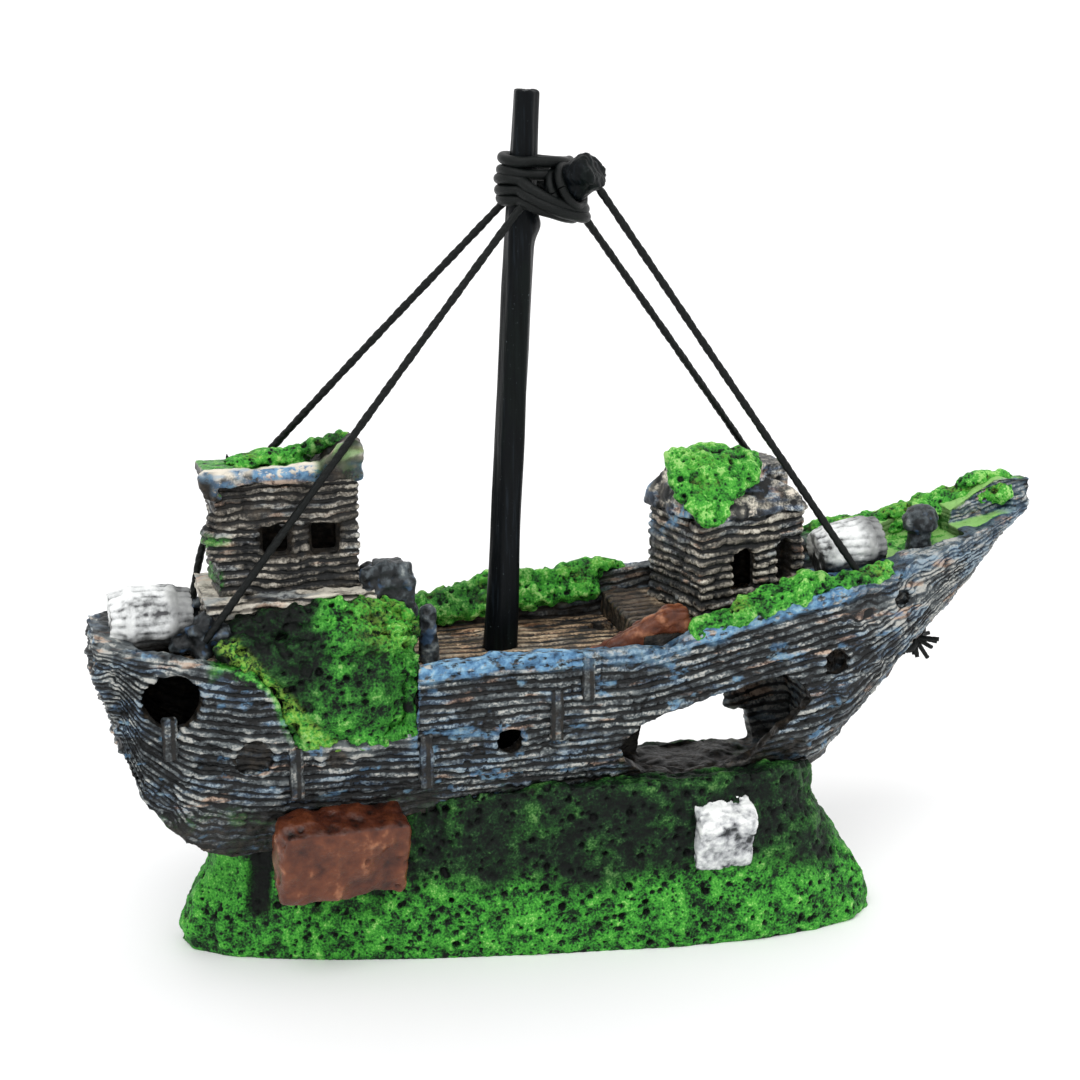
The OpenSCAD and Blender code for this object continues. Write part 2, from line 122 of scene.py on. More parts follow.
def fbm(p, size, seed=0, octaves=3):
    """Several sizes of noise together, from about -1 to 1."""
    total, share, whole = np.zeros(len(p)), 1.0, 0.0
    for octave in range(octaves):
        total += share * noise(p, size / 2 ** octave, seed + 17 * octave)
        whole += share
        share *= 0.5
    return total / whole


def cells(p, size, seed=0):
    """Distance to the nearest scattered point, in sizes, and that point's random number."""
    q = p / size
    home = np.floor(q).astype(np.int64)
    best = np.full(len(p), 9.0)
    name = np.zeros(len(p))
    for i in (-1, 0, 1):
        for j in (-1, 0, 1):
            for k in (-1, 0, 1):
                a, b, c = home[:, 0] + i, home[:, 1] + j, home[:, 2] + k
                spot = np.stack([a + hashed(a, b, c, seed), b + hashed(a, b, c, seed + 1),
                                 c + hashed(a, b, c, seed + 2)], axis=1)
                far = np.linalg.norm(q - spot, axis=1)
                closer = far < best
                best = np.where(closer, far, best)
                name = np.where(closer, hashed(a, b, c, seed + 3), name)
    return best, name


def step(value, low, high):
    """0 below low, 1 above high, smooth between. It falls instead where low is above high."""
    t = np.clip((value - low) / (high - low), 0, 1)
    return t * t * (3 - 2 * t)


def pits(p, size, seed, share=0.7):
    """1 in the middle of each scattered pit and 0 outside it; share of the cells hold one."""
    far, name = cells(p, size, seed)
    radius = 0.22 + 0.3 * name
    return step(far, radius, radius * 0.45) * (name < share)


# ---- Mesh work -----------------------------------------------------------------------------


def node_mesh(node):
    """The points in millimetres and the faces of a CAD node."""
    data = CAD[node].data
    points = np.zeros(len(data.vertices) * 3, np.float32)
    data.vertices.foreach_get("co", points)
    return points.reshape(-1, 3).astype(float) / MM, [tuple(f.vertices) for f in data.polygons]


def joined(*solids):
    points, faces, count = [], [], 0
    for solid_points, solid_faces in solids:
        points.append(solid_points)
        faces += [tuple(v + count for v in f) for f in solid_faces]
        count += len(solid_points)
    return np.concatenate(points), faces


def blobs(*spots):
    """Rough balls at (x, y, z, radius), to be grown into the piece they touch."""
    gold = (1 + math.sqrt(5)) / 2
    corners = []
    for a in (-1, 1):
        for b in (-gold, gold):
            corners += [(0, a, b), (a, b, 0), (b, 0, a)]
    corners = np.array(corners) / math.hypot(1, gold)
    near = [(i, j, k) for i in range(12) for j in range(i) for k in range(j)
            if max(np.linalg.norm(corners[i] - corners[j]), np.linalg.norm(corners[j] - corners[k]),
                   np.linalg.norm(corners[i] - corners[k])) < 1.1]
    faces = []
    for i, j, k in near:
        out = np.cross(corners[j] - corners[i], corners[k] - corners[i]) @ corners[i] > 0
        faces.append((i, j, k) if out else (i, k, j))
    return [(corners * radius * 1.1 + [x, y, z], faces) for x, y, z, radius in spots]


def trail(route, radius, spacing=0.9):
    """A row of balls along a route, their sizes wandering a little."""
    line, along = smooth_route(route, spacing)
    return blobs(*[(*spot, radius * (1 + 0.22 * math.sin(2.1 * s) + 0.12 * math.sin(5.3 * s + 1)))
                   for spot, s in zip(line, along)])


def mesh_from(points, faces, name):
    mesh = bpy.data.meshes.new(name)
    mesh.from_pydata([tuple(v) for v in points], [], faces)
    mesh.update()
    return mesh


def remeshed(solid, voxel, smooth=2):
    """The solid again as an even mesh of small squares, with its edges a little rounded."""
    mesh = mesh_from(*solid, "block")
    block = bpy.data.objects.new("block", mesh)
    bpy.context.scene.collection.objects.link(block)
    remesh = block.modifiers.new("remesh", "REMESH")
    remesh.mode, remesh.voxel_size = "VOXEL", voxel
    if smooth:
        soften = block.modifiers.new("soften", "SMOOTH")
        soften.factor, soften.iterations = 0.5, smooth
    even = bpy.data.meshes.new_from_object(block.evaluated_get(bpy.context.evaluated_depsgraph_get()))
    bpy.data.objects.remove(block)
    bpy.data.meshes.remove(mesh)
    return even


def points_of(mesh):
    points = np.zeros(len(mesh.vertices) * 3, np.float32)
    mesh.vertices.foreach_get("co", points)
    return points.reshape(-1, 3).astype(float)


def normals_of(mesh):
    normals = np.zeros(len(mesh.vertices) * 3, np.float32)
    mesh.vertex_normals.foreach_get("vector", normals)
    return normals.reshape(-1, 3).astype(float)


def set_points(mesh, points):
    mesh.vertices.foreach_set("co", points.astype(np.float32).ravel())
    mesh.update()


def set_masks(mesh, masks):
    for name, values in masks.items():
        layer = mesh.attributes.new(name, "FLOAT", "POINT")
        layer.data.foreach_set("value", np.broadcast_to(values, len(mesh.vertices)).astype(np.float32))


def place(mesh, name, material, body=ROOT, replaces=()):
    """Turns a mesh in millimetres into a piece that rides on a body, in the slot of its material."""
    set_points(mesh, points_of(mesh) * MM)
    mesh.polygons.foreach_set("use_smooth", np.ones(len(mesh.polygons), bool))
    piece = bpy.data.objects.new(name, mesh)
    bpy.context.scene.collection.objects.link(piece)
    mesh.materials.append(material)
    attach(piece, body)
    if replaces:
        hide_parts(*replaces)
    return piece


def carve_node(node, voxel, relief, material, body=ROOT, smooth=2, extra=()):
    """Remeshes a node, grown by extra, and moves its points along their normals by relief, in mm."""
    mesh = remeshed(joined(node_mesh(node), *extra), voxel, smooth)
    points, normals = points_of(mesh), normals_of(mesh)
    rise, masks = relief(points, normals)
    set_points(mesh, points + normals * rise[:, None])
    set_masks(mesh, masks)
    return place(mesh, node + "_carved", material, body, [node])


# ---- Materials -----------------------------------------------------------------------------


def rgb(red, green, blue):
    """A colour given as it looks on screen, from 0 to 255."""
    return tuple(c / 12.92 if c <= 0.04045 else ((c + 0.055) / 1.055) ** 2.4
                 for c in (red / 255, green / 255, blue / 255)) + (1.0,)


def timber_masks(plank, height, dark, blue=0.0, moss=0.0, shade=0.5):
    """What a timber material reads, with blue, moss and dark kept from 0 to 1."""
    return {"plank": plank, "height": height, "blue": np.clip(blue, 0, 1), "moss": np.clip(moss, 0, 1),
            "shade": shade, "dark": np.clip(dark, 0, 1)}


class Paint:
    """A node material made by short calls. Sizes are in millimetres. Its slot argument is not used."""

    def __init__(self, name, roughness=0.6, shine=0.18, slot=None):
        self.material = bpy.data.materials.new(name)
        self.material.use_nodes = True
        self.tree = self.material.node_tree
        self.tree.nodes.clear()
        self.shader = self.node("ShaderNodeBsdfPrincipled")
        self.shader.inputs["Roughness"].default_value = roughness
        self.shader.inputs["Specular IOR Level"].default_value = shine
        output = self.node("ShaderNodeOutputMaterial")
        self.tree.links.new(self.shader.outputs[0], output.inputs[0])
        self.where = self.node("ShaderNodeTexCoord").outputs["Object"]

    def node(self, kind, **settings):
        made = self.tree.nodes.new(kind)
        for key, value in settings.items():
            setattr(made, key, value)
        return made

    def feed(self, socket, value):
        if isinstance(value, bpy.types.NodeSocket):
            self.tree.links.new(value, socket)
        else:
            socket.default_value = value

    def math(self, operation, a, b):
        made = self.node("ShaderNodeMath", operation=operation)
        self.feed(made.inputs[0], a)
        self.feed(made.inputs[1], b)
        return made.outputs[0]

    def plus(self, a, b):
        return self.math("ADD", a, b)

    def minus(self, a, b):
        return self.math("SUBTRACT", a, b)

    def times(self, a, b):
        return self.math("MULTIPLY", a, b)

    def mask(self, name):
        return self.node("ShaderNodeAttribute", attribute_name=name).outputs["Fac"]

    def stretched(self, stretch):
        mapping = self.node("ShaderNodeMapping")
        self.feed(mapping.inputs["Vector"], self.where)
        mapping.inputs["Scale"].default_value = stretch
        return mapping.outputs[0]

    def noise(self, size, detail=3.0, stretch=(1, 1, 1), shift=0.0):
        made = self.node("ShaderNodeTexNoise", noise_dimensions="4D")
        self.feed(made.inputs["Vector"], self.stretched(stretch))
        made.inputs["W"].default_value = shift
        made.inputs["Scale"].default_value = 1 / (size * MM)
        made.inputs["Detail"].default_value = detail
        made.inputs["Roughness"].default_value = 0.6
        return made.outputs[0]

    def cells(self, size, stretch=(1, 1, 1), feature="F1"):
        made = self.node("ShaderNodeTexVoronoi", feature=feature)
        self.feed(made.inputs["Vector"], self.stretched(stretch))
        made.inputs["Scale"].default_value = 1 / (size * MM)
        return made.outputs["Distance"]

    def step(self, value, low, high):
        made = self.node("ShaderNodeMapRange", interpolation_type="SMOOTHSTEP")
        for socket, number in zip(made.inputs, (value, low, high, 0.0, 1.0)):
            self.feed(socket, number)
        return made.outputs[0]

    def ramp(self, value, *stops):
        made = self.node("ShaderNodeValToRGB")
        self.feed(made.inputs[0], value)
        elements = made.color_ramp.elements
        while len(elements) < len(stops):
            elements.new(0.5)
        for element, (position, colour) in zip(elements, stops):
            element.position, element.color = position, colour
        return made.outputs[0]

    def mix(self, share, a, b, blend="MIX"):
        made = self.node("ShaderNodeMix", data_type="RGBA", blend_type=blend)
        self.feed(made.inputs["Factor"], share)
        self.feed(made.inputs[6], a)
        self.feed(made.inputs[7], b)
        return made.outputs[2]

    def colour(self, value):
        self.feed(self.shader.inputs["Base Color"], value)

    def roughness(self, value):
        self.feed(self.shader.inputs["Roughness"], value)

    def bump(self, height, depth, strength=1.0):
        made = self.node("ShaderNodeBump")
        made.inputs["Distance"].default_value = depth * MM
        made.inputs["Strength"].default_value = strength
        self.feed(made.inputs["Height"], height)
        self.feed(self.shader.inputs["Normal"], made.outputs[0])


BLACK = rgb(14, 16, 17)


def moss_colour(paint, height, shade):
    """Green brushed over black: height is 0 in a hole and 1 on a tip, shade 0 in the dull stretches."""
    fine = paint.times(paint.minus(paint.noise(0.3, 3), 0.5), 1.5)
    broad = paint.times(paint.minus(paint.noise(1.2, 3, (1, 1, 1.5), 21), 0.5), 0.7)
    holes = paint.times(paint.minus(paint.step(paint.cells(0.8), 0.12, 0.36), 1.0), 0.34)
    lit = paint.plus(paint.plus(height, fine), paint.plus(holes, broad))
    bright = paint.ramp(lit, (0.02, rgb(8, 14, 10)), (0.24, rgb(16, 42, 20)), (0.42, rgb(38, 98, 34)),
                        (0.62, rgb(58, 146, 46)), (0.85, rgb(86, 172, 62)), (1.0, rgb(150, 204, 112)))
    dull = paint.ramp(lit, (0.15, rgb(7, 11, 9)), (0.5, rgb(12, 27, 16)), (0.75, rgb(24, 54, 27)),
                      (1.0, rgb(62, 98, 54)))
    return paint.mix(shade, dull, bright)


def moss_material(name, roughness=0.58):
    paint = Paint(name, roughness, 0.16)
    height, shade = paint.mask("height"), paint.mask("shade")
    colour = moss_colour(paint, height, shade)
    tips = paint.times(paint.mask("fresh"), paint.step(paint.noise(0.5, 3, shift=3), 0.42, 0.6))
    paint.colour(paint.mix(tips, colour, rgb(142, 186, 74)))
    paint.bump(paint.noise(0.3, 3, shift=5), 0.14, 0.8)
    return paint.material


def timber_material(name, tones, cool, warm, roughness=0.5):
    """Planks brushed pale over black. Masks: plank, height, blue, moss, shade, dark."""
    paint = Paint(name, roughness, 0.3)
    ragged = paint.plus(paint.mask("plank"), paint.times(paint.noise(0.8, 3, shift=11), 0.3))
    ragged = paint.plus(ragged, paint.times(paint.noise(0.28, 2, shift=12), 0.22))
    wave = paint.math("PINGPONG", paint.minus(ragged, 0.26), 0.5)
    crest = paint.step(wave, 0.1, 0.3)
    dashes = paint.step(paint.noise(1.5, 4, (0.34, 0.5, 1.5), 1), 0.38, 0.62)
    broad = paint.step(paint.noise(4.2, 3, shift=2), 0.36, 0.62)
    chips = paint.step(paint.noise(0.36, 3, shift=3), 0.38, 0.62)
    wear_and_shading = paint.times(crest, paint.plus(paint.times(dashes, 0.56), 0.42))
    wear_and_shading = paint.times(wear_and_shading, paint.plus(paint.times(broad, 0.4), 0.64))
    wear_and_shading = paint.times(wear_and_shading, paint.plus(paint.times(chips, 0.62), 0.46))
    # height lifts the brushed tone: raised, worn places, and the painted light that some reliefs put in
    # height
    lift = paint.times(paint.minus(paint.mask("height"), 0.5), 0.7)
    wear_and_shading = paint.plus(wear_and_shading, lift)
    colour = paint.ramp(wear_and_shading, *zip((0.02, 0.14, 0.34, 0.6, 0.95), (BLACK,) + tones))
    cool_share = paint.times(paint.step(paint.noise(3.6, 3, (0.5, 1, 1.6), 4), 0.5, 0.6), 0.7)
    colour = paint.mix(cool_share, colour, paint.ramp(wear_and_shading, *zip((0.05, 0.4, 0.8), (BLACK,) + cool)))
    warm_share = paint.times(paint.step(paint.noise(3.2, 3, (0.45, 1, 1.8), 5), 0.57, 0.66), 0.8)
    colour = paint.mix(warm_share, colour, paint.ramp(wear_and_shading, *zip((0.05, 0.35, 0.8), (BLACK,) + warm)))
    sky = paint.ramp(paint.noise(1.3, 4, shift=9), (0.3, rgb(38, 66, 92)), (0.45, rgb(84, 128, 166)),
                     (0.58, rgb(124, 168, 198)), (0.7, rgb(176, 198, 204)))
    blue = paint.times(paint.mask("blue"), paint.step(paint.noise(0.8, 4, (0.6, 1, 1), 7), 0.4, 0.5))
    colour = paint.mix(blue, colour, sky)
    green = moss_colour(paint, paint.mask("height"), paint.mask("shade"))
    colour = paint.mix(paint.mask("moss"), colour, green)
    # Colour of the dark mask: painted shade in the hold, rooms, port holes and breach, and grime elsewhere
    shade_and_grime_colour = paint.ramp(paint.noise(1.1, 4, shift=8), (0.3, rgb(11, 11, 10)), (0.5, rgb(31, 28, 24)),
                       (0.75, rgb(76, 66, 54)))
    paint.colour(paint.mix(paint.mask("dark"), colour, shade_and_grime_colour))
    paint.roughness(paint.plus(paint.times(chips, 0.15), roughness - 0.1))
    grain = paint.plus(paint.noise(0.36, 4, (0.4, 0.6, 1.0), 6), paint.times(crest, 0.5))
    paint.bump(grain, 0.22, 0.8)
    return paint.material


def cord_material():
    paint = Paint("waxed_cord", 0.4, 0.18)
    fibres = paint.noise(0.14, 3, shift=1)
    wear_and_shading = paint.plus(fibres, paint.times(paint.mask("height"), 0.22))
    # The palest fibres are partly lighter strands and partly a painted sheen on the cord
    paint.colour(paint.ramp(wear_and_shading, (0.4, rgb(3, 5, 5)), (0.64, rgb(14, 19, 18)), (0.78, rgb(44, 54, 51)),
                            (0.95, rgb(120, 130, 125))))
    paint.bump(fibres, 0.1, 0.8)
    return paint.material


def stick_material():
    paint = Paint("mast_stick", 0.4, 0.1)
    grain = paint.noise(0.5, 4, (1, 1, 0.05))
    patches = paint.noise(4, 4, (1, 1, 0.3), 3)
    colour = paint.ramp(grain, (0.3, rgb(2, 4, 6)), (0.55, rgb(7, 11, 14)), (0.78, rgb(30, 38, 45)))
    colour = paint.mix(paint.step(patches, 0.5, 0.62), colour, paint.ramp(grain, (0.3, rgb(2, 5, 5)),
                                                                         (0.8, rgb(16, 24, 23))))
    specks = paint.step(paint.noise(0.4, 3, shift=6), 0.66, 0.76)
    paint.colour(paint.mix(specks, colour, rgb(84, 94, 98)))
    paint.bump(grain, 0.14, 0.9)
    return paint.material


def pale_material(name, light, grey, crack):
    """White paint rubbed thin over dark cracks. Masks: height, dark."""
    paint = Paint(name, 0.45, 0.3, "pale_stone")
    wear_and_shading = paint.plus(paint.mask("height"), paint.times(paint.noise(0.55, 4), 0.8))
    colour = paint.ramp(paint.minus(wear_and_shading, 0.4), (0.02, crack), (0.2, grey), (0.48, light),
                        (0.85, rgb(244, 246, 244)))
    # Colour of the dark mask: a painted shadow under the barrels, painted shade at one end, and dark patches
    # on their ends
    grime_and_shade = paint.ramp(paint.noise(0.7, 4, shift=2), (0.3, BLACK), (0.6, rgb(54, 56, 56)),
                      (0.8, rgb(120, 122, 120)))
    paint.colour(paint.mix(paint.mask("dark"), colour, grime_and_shade))
    paint.bump(paint.noise(0.4, 4, shift=3), 0.16, 0.7)
    return paint.material


def glaze_material():
    paint = Paint("brown_glaze", 0.34, 0.35)
    tone = paint.plus(paint.mask("height"), paint.times(paint.noise(1.0, 4), 0.9))
    paint.colour(paint.ramp(paint.minus(tone, 0.45), (0.0, rgb(26, 14, 10)), (0.22, rgb(62, 28, 16)),
                            (0.5, rgb(84, 42, 24)), (0.8, rgb(104, 56, 33)), (1.0, rgb(152, 100, 70))))
    paint.bump(paint.noise(0.5, 4, shift=6), 0.2, 0.8)
    return paint.material


def dark_material():
    paint = Paint("dark_fittings", 0.45, 0.3)
    tone = paint.plus(paint.mask("height"), paint.times(paint.noise(0.7, 4), 1.0))
    colour = paint.ramp(paint.minus(tone, 0.45), (0.1, BLACK), (0.45, rgb(32, 36, 39)),
                        (0.75, rgb(80, 88, 92)), (1.0, rgb(150, 156, 154)))
    blue = paint.times(paint.step(paint.noise(2.0, 2, shift=8), 0.58, 0.68), 0.6)
    paint.colour(paint.mix(blue, colour, rgb(64, 92, 124)))
    paint.bump(paint.noise(0.4, 3, shift=4), 0.16, 0.8)
    return paint.material


def fitting_material(name, low, high, roughness, grit):
    paint = Paint(name, roughness)
    paint.colour(paint.ramp(paint.noise(grit, 3), (0.3, low), (0.7, high)))
    paint.bump(paint.noise(grit * 0.6, 2, shift=4), 0.05, 0.5)
    return paint.material


TIMBER_HULL = timber_material(
    "weathered_hull", (rgb(32, 36, 39), rgb(62, 68, 71), rgb(104, 110, 111), rgb(178, 178, 172)),
    (rgb(46, 68, 92), rgb(128, 152, 168)), (rgb(98, 76, 62), rgb(188, 160, 138)))
TIMBER_CABIN = timber_material(
    "cabin_timber", (rgb(36, 36, 35), rgb(76, 73, 67), rgb(134, 128, 118), rgb(206, 200, 186)),
    (rgb(56, 64, 74), rgb(136, 146, 150)), (rgb(106, 84, 70), rgb(206, 178, 156)))
TIMBER_DECK = timber_material(
    "deck_planks", (rgb(44, 37, 30), rgb(112, 92, 72), rgb(168, 144, 116), rgb(212, 192, 164)),
    (rgb(70, 70, 68), rgb(150, 148, 140)), (rgb(130, 92, 66), rgb(204, 164, 130)))
ROOF_PAINT = timber_material(
    "roof_paint", (rgb(38, 39, 40), rgb(96, 95, 90), rgb(166, 160, 148), rgb(222, 214, 198)),
    (rgb(62, 86, 116), rgb(150, 174, 192)), (rgb(124, 98, 84), rgb(218, 188, 166)))
ROCK_MOSS = moss_material("mossy_rock")
PAD_MOSS = moss_material("bright_moss")
CORD = cord_material()
STICK = stick_material()
PALE_BARREL = pale_material("pale_barrel", rgb(214, 216, 216), rgb(150, 152, 152), rgb(70, 70, 72))
PALE_STONE = pale_material("pale_stone", rgb(190, 192, 194), rgb(118, 120, 124), rgb(46, 48, 50))
GLAZE = glaze_material()
DARK = dark_material()

# ---- Ropes ---------------------------------------------------------------------------------


def smooth_route(route, spacing):
    """Even points along a smooth curve through the route's points."""
    route = np.array(route, float)
    ends = np.concatenate([[2 * route[0] - route[1]], route, [2 * route[-1] - route[-2]]])
    line = []
    for a, b, c, d in zip(ends[:-3], ends[1:-2], ends[2:-1], ends[3:]):
        for t in np.linspace(0, 1, 24, endpoint=False):
            line.append(0.5 * (2 * b + (c - a) * t + (2 * a - 5 * b + 4 * c - d) * t ** 2
                               + (3 * b - a - 3 * c + d) * t ** 3))
    line.append(route[-1])
    line = np.array(line)
    along = np.concatenate([[0], np.cumsum(np.linalg.norm(np.diff(line, axis=0), axis=1))])
    even = np.linspace(0, along[-1], max(4, int(along[-1] / spacing)) + 1)
    return np.stack([np.interp(even, along, line[:, k]) for k in range(3)], axis=1), even


def rope_mesh(route, diameter, lay=2.6, strands=2, relief=0.2, spacing=0.14, sides=18, seed=0):
    """A laid rope along a route: the mesh in millimetres, and the points down its middle."""
    line, along = smooth_route(route, spacing)
    way = np.gradient(line, axis=0)
    way /= np.linalg.norm(way, axis=1)[:, None]
    side = np.cross(way[0], [0.3, 1.0, 0.2])
    rings = []
    for i, (centre, w) in enumerate(zip(line, way)):
        side = side - w * (side @ w)
        side /= np.linalg.norm(side)
        up = np.cross(w, side)
        turn = np.arange(sides) * 2 * np.pi / sides
        groove = np.abs(np.cos(strands / 2 * (turn - 2 * np.pi * along[i] / lay)))
        swell = 1 + 0.05 * math.sin(along[i] * 1.3 + seed)
        radius = diameter / 2 * (1 - relief + relief * np.sqrt(groove)) * swell
        rings.append(centre + radius[:, None] * (np.cos(turn)[:, None] * side + np.sin(turn)[:, None] * up))
    points = np.concatenate(rings)
    count = len(rings)
    faces = [(i + j, i + (j + 1) % sides, i + sides + (j + 1) % sides, i + sides + j)
             for i in range(0, (count - 1) * sides, sides) for j in range(sides)]
    faces.append(tuple(range(sides - 1, -1, -1)))
    faces.append(tuple((count - 1) * sides + j for j in range(sides)))
    return points, faces, line


CORD_D = 1.05
STAYS = {
    "near_backstay": [(-52.4, -9.2, 47.6), (-38.5, -7.2, 64.8), (-24.6, -5.1, 81.8), (-10.8, -3.1, 98.5),
                      (-9.2, -3.0, 100.2)],
    "far_backstay": [(-52.4, 7.2, 47.2), (-51.7, 7.9, 50.6), (-50.6, 8.6, 54.6), (-49.3, 9, 58),
                     (-47.6, 9, 60.7), (-45.4, 8.6, 63.2), (-30, 5.5, 79.8), (-12.1, 2, 98.6),
                     (-9.8, 1.5, 101)],
    "near_forestay": [(36.6, -10.4, 49), (24.6, -8.2, 66.7), (12.7, -6, 84.3), (0.7, -3.8, 102),
                      (-0.6, -3.6, 103.6)],
    "far_forestay": [(36.3, 11.1, 50.2), (26.4, 8, 63.3), (12.9, 4.1, 81.1), (-0.7, 0.7, 98.9),
                     (-2.6, 0.5, 101)],
}


def add_stays():
    for name, route in STAYS.items():
        points, faces, line = rope_mesh(route, CORD_D, seed=len(name))
        piece = place(mesh_from(points, faces, name), name + "_cord", CORD, replaces=[name])


def round_mast(height, out_height, reach, radius, heading):
    """A loop of cord round the mast. It swells by reach towards heading, to go past the yard too."""
    lean = np.cross(MAST_AXIS, [0, 1, 0])
    lean = -lean / np.linalg.norm(lean)
    side = np.cross(MAST_AXIS, lean)
    route = []
    for angle in np.linspace(0, 2 * np.pi, 21)[:-1]:
        share = max(0.0, math.cos(angle - math.radians(heading))) ** 1.6
        wander = 0.16 * math.sin(2 * angle + height)
        level = height * (1 - share) + out_height * share + wander
        far = radius + reach * share
        outward = math.cos(angle) * lean + math.sin(angle) * side
        route.append(MAST_POINT + MAST_AXIS * level + far * outward)
    return route + [route[0] + MAST_AXIS * 0.15]


def add_lashing():
    """Loops of cord round the mast, some of them slung under the yard, and a collar round the yard."""
    loops = [(2.7, 2.4, 3.6, 2.65, 12), (1.2, 1.2, 3.4, 2.75, 12), (0.2, -3.0, 5.2, 2.95, -22),
             (-1.1, -3.9, 5.6, 2.8, -24), (-2.2, -4.2, 4.4, 2.6, -26)]
    solids = [rope_mesh(round_mast(*loop), 1.45, lay=6, relief=0.05, seed=i)[:2]
              for i, loop in enumerate(loops)]
    low, high = box_mm("yard")
    along = np.array([high[0] - low[0], low[1] - high[1], high[2] - low[2]])
    along /= np.linalg.norm(along)
    middle = (low + high) / 2
    across = np.cross(along, [0, 0, 1])
    across /= np.linalg.norm(across)
    up = np.cross(across, along)
    for shift, size, seed in ((-0.7, 2.75, 8), (-2.2, 2.9, 9)):
        collar = []
        for a in np.linspace(0, 2 * np.pi, 19):
            centre = middle + along * (shift + 0.5 * math.sin(a + 0.6))
            collar.append(centre + size * (math.cos(a) * across + math.sin(a) * up))
        solids.append(rope_mesh(collar, 1.2, lay=6, relief=0.05, seed=seed)[:2])
    mesh = mesh_from(*joined(*solids), "lashing")
    return place(mesh, "mast_lashing_cord", CORD, YARD, ["mast_lashing"])


def add_bow_knot():
    """A stub of cord knotted on the stem, with its ends frayed."""
    low, high = box_mm("bow_knot")
    centre = (low + high) / 2 + [-0.7, -0.4, 2.0]
    knot = []
    for i in range(4):
        ring = []
        for angle in np.linspace(0, 2 * np.pi, 13):
            tilt = np.array([math.cos(angle) * 1.2, math.sin(angle + i) * 0.8, math.sin(angle) * 1.3])
            ring.append(centre + tilt + [0.4 * i - 1.1, 0, 0.35 * i - 0.2])
        knot.append(rope_mesh(ring, 1.15, spacing=0.2, seed=i)[:2])
    for i in range(22):
        heading = 0.9 * i
        way = np.array([0.2 + math.cos(heading), 0.6 * math.sin(heading * 1.7),
                        -0.8 + 0.9 * math.sin(heading)])
        way /= np.linalg.norm(way)
        bend = np.array([math.sin(i * 2.3), math.cos(i * 1.9), math.sin(i * 3.1)]) * 0.4
        reaches = (0.3, 1.3, 2.3, 2.9 + 0.5 * math.sin(i))
        route = [centre + way * reach + bend * reach / 2 for reach in reaches]
        knot.append(rope_mesh(route, 0.68, lay=1.4, spacing=0.2, sides=8, seed=i)[:2])
    mesh = mesh_from(*joined(*knot), "knot")
    return place(mesh, "bow_knot_frayed", CORD, replaces=["bow_knot"])


# ---- Rock ----------------------------------------------------------------------------------


BLOCK_END = box_mm("brown_block")[0][0]


def rock_relief(p, n):
    x, y, z = p.T
    lumps = fbm(p, 7, 3, 3)
    bumps = fbm(p, 2.6, 7, 2)
    big = pits(p, 2.2, 11, 0.5)
    small = pits(p, 1.2, 23, 0.75)
    rough = fbm(p, 0.9, 31, 3)
    low = step(z, 0.0, 1.2)
    near = y < 0
    # crevice: a groove left of the brown block, carved in and painted dark as its shade
    crevice = near * step(np.abs(x - BLOCK_END + 0.4 - 0.12 * (z - 14)), 2.0, 0.7) * step(z, 4, 8)
    daub = step(y, 4, 2) * step(np.hypot(x + 49.5, (z - 11) * 1.1) + 1.8 * bumps, 5.4, 4.2)
    rise = (0.9 * lumps + 0.4 * bumps + 0.36 * rough - 0.8 * big - 0.5 * small) * (0.25 + 0.75 * low)
    rise = rise * (1 - 0.7 * daub) - 0.9 * crevice
    under = step(n[:, 2], -0.55, -0.9)
    rise *= 1 - under
    bright = step(z + 3.4 * fbm(p, 8, 5, 3) + 0.1 * np.minimum(x + 6, 0), 12.5, 7.5)
    right = step(x + 4 * fbm(p, 5, 9, 2), 30, 39)
    left = step(x + 3 * fbm(p, 5, 10, 2), -44, -51)
    height = 0.54 + 0.5 * rough + 0.22 * bumps - 0.75 * big - 0.62 * small
    height = height * (1 - 0.6 * daub) + 0.42 * daub - 0.5 * crevice
    lit = np.maximum(np.maximum(bright, 0.75 * right), np.maximum(left, daub))
    shade = np.clip(lit * 0.95 + 0.04 + 0.22 * bumps - crevice, 0, 1)
    fresh = step(fbm(p, 3.5, 41, 2), 0.3, 0.5) * step(n[:, 2], 0.0, 0.6) * shade
    return rise, {"height": height, "shade": shade, "fresh": fresh * 0.2}


def add_rock():
    carve_node("rock_base", 0.27, rock_relief, ROCK_MOSS, smooth=4)


def glaze_relief(p, n):
    dents = fbm(p, 3.4, 2, 3)
    rough = fbm(p, 1.2, 4, 2)
    hole = pits(p, 2.4, 8, 0.35)
    rise = 0.85 * dents + 0.16 * rough - 0.35 * hole
    return rise, {"height": 0.55 + 0.5 * dents + 0.3 * rough - 0.35 * hole - 0.3 * step(n[:, 2], 0.25, 0.7)}


def stone_relief(p, n):
    far, name = cells(p * [1, 1, 0.8], 2.2, 5)
    rough = fbm(p, 0.9, 3, 3)
    seams = step(far, 0.66, 0.9)
    height = 0.42 + 0.55 * rough + 0.45 * (name - 0.5) - 0.5 * seams + 0.26 * step(p[:, 2], 16.5, 18)
    return 0.5 * (name - 0.5) - 0.3 * far + 0.2 * rough, {"height": height, "dark": 0.0}


def add_stones():
    carve_node("brown_block", 0.25, glaze_relief, GLAZE, smooth=60)
    carve_node("white_stone", 0.2, stone_relief, PALE_STONE, smooth=70)


# ---- Hull ----------------------------------------------------------------------------------

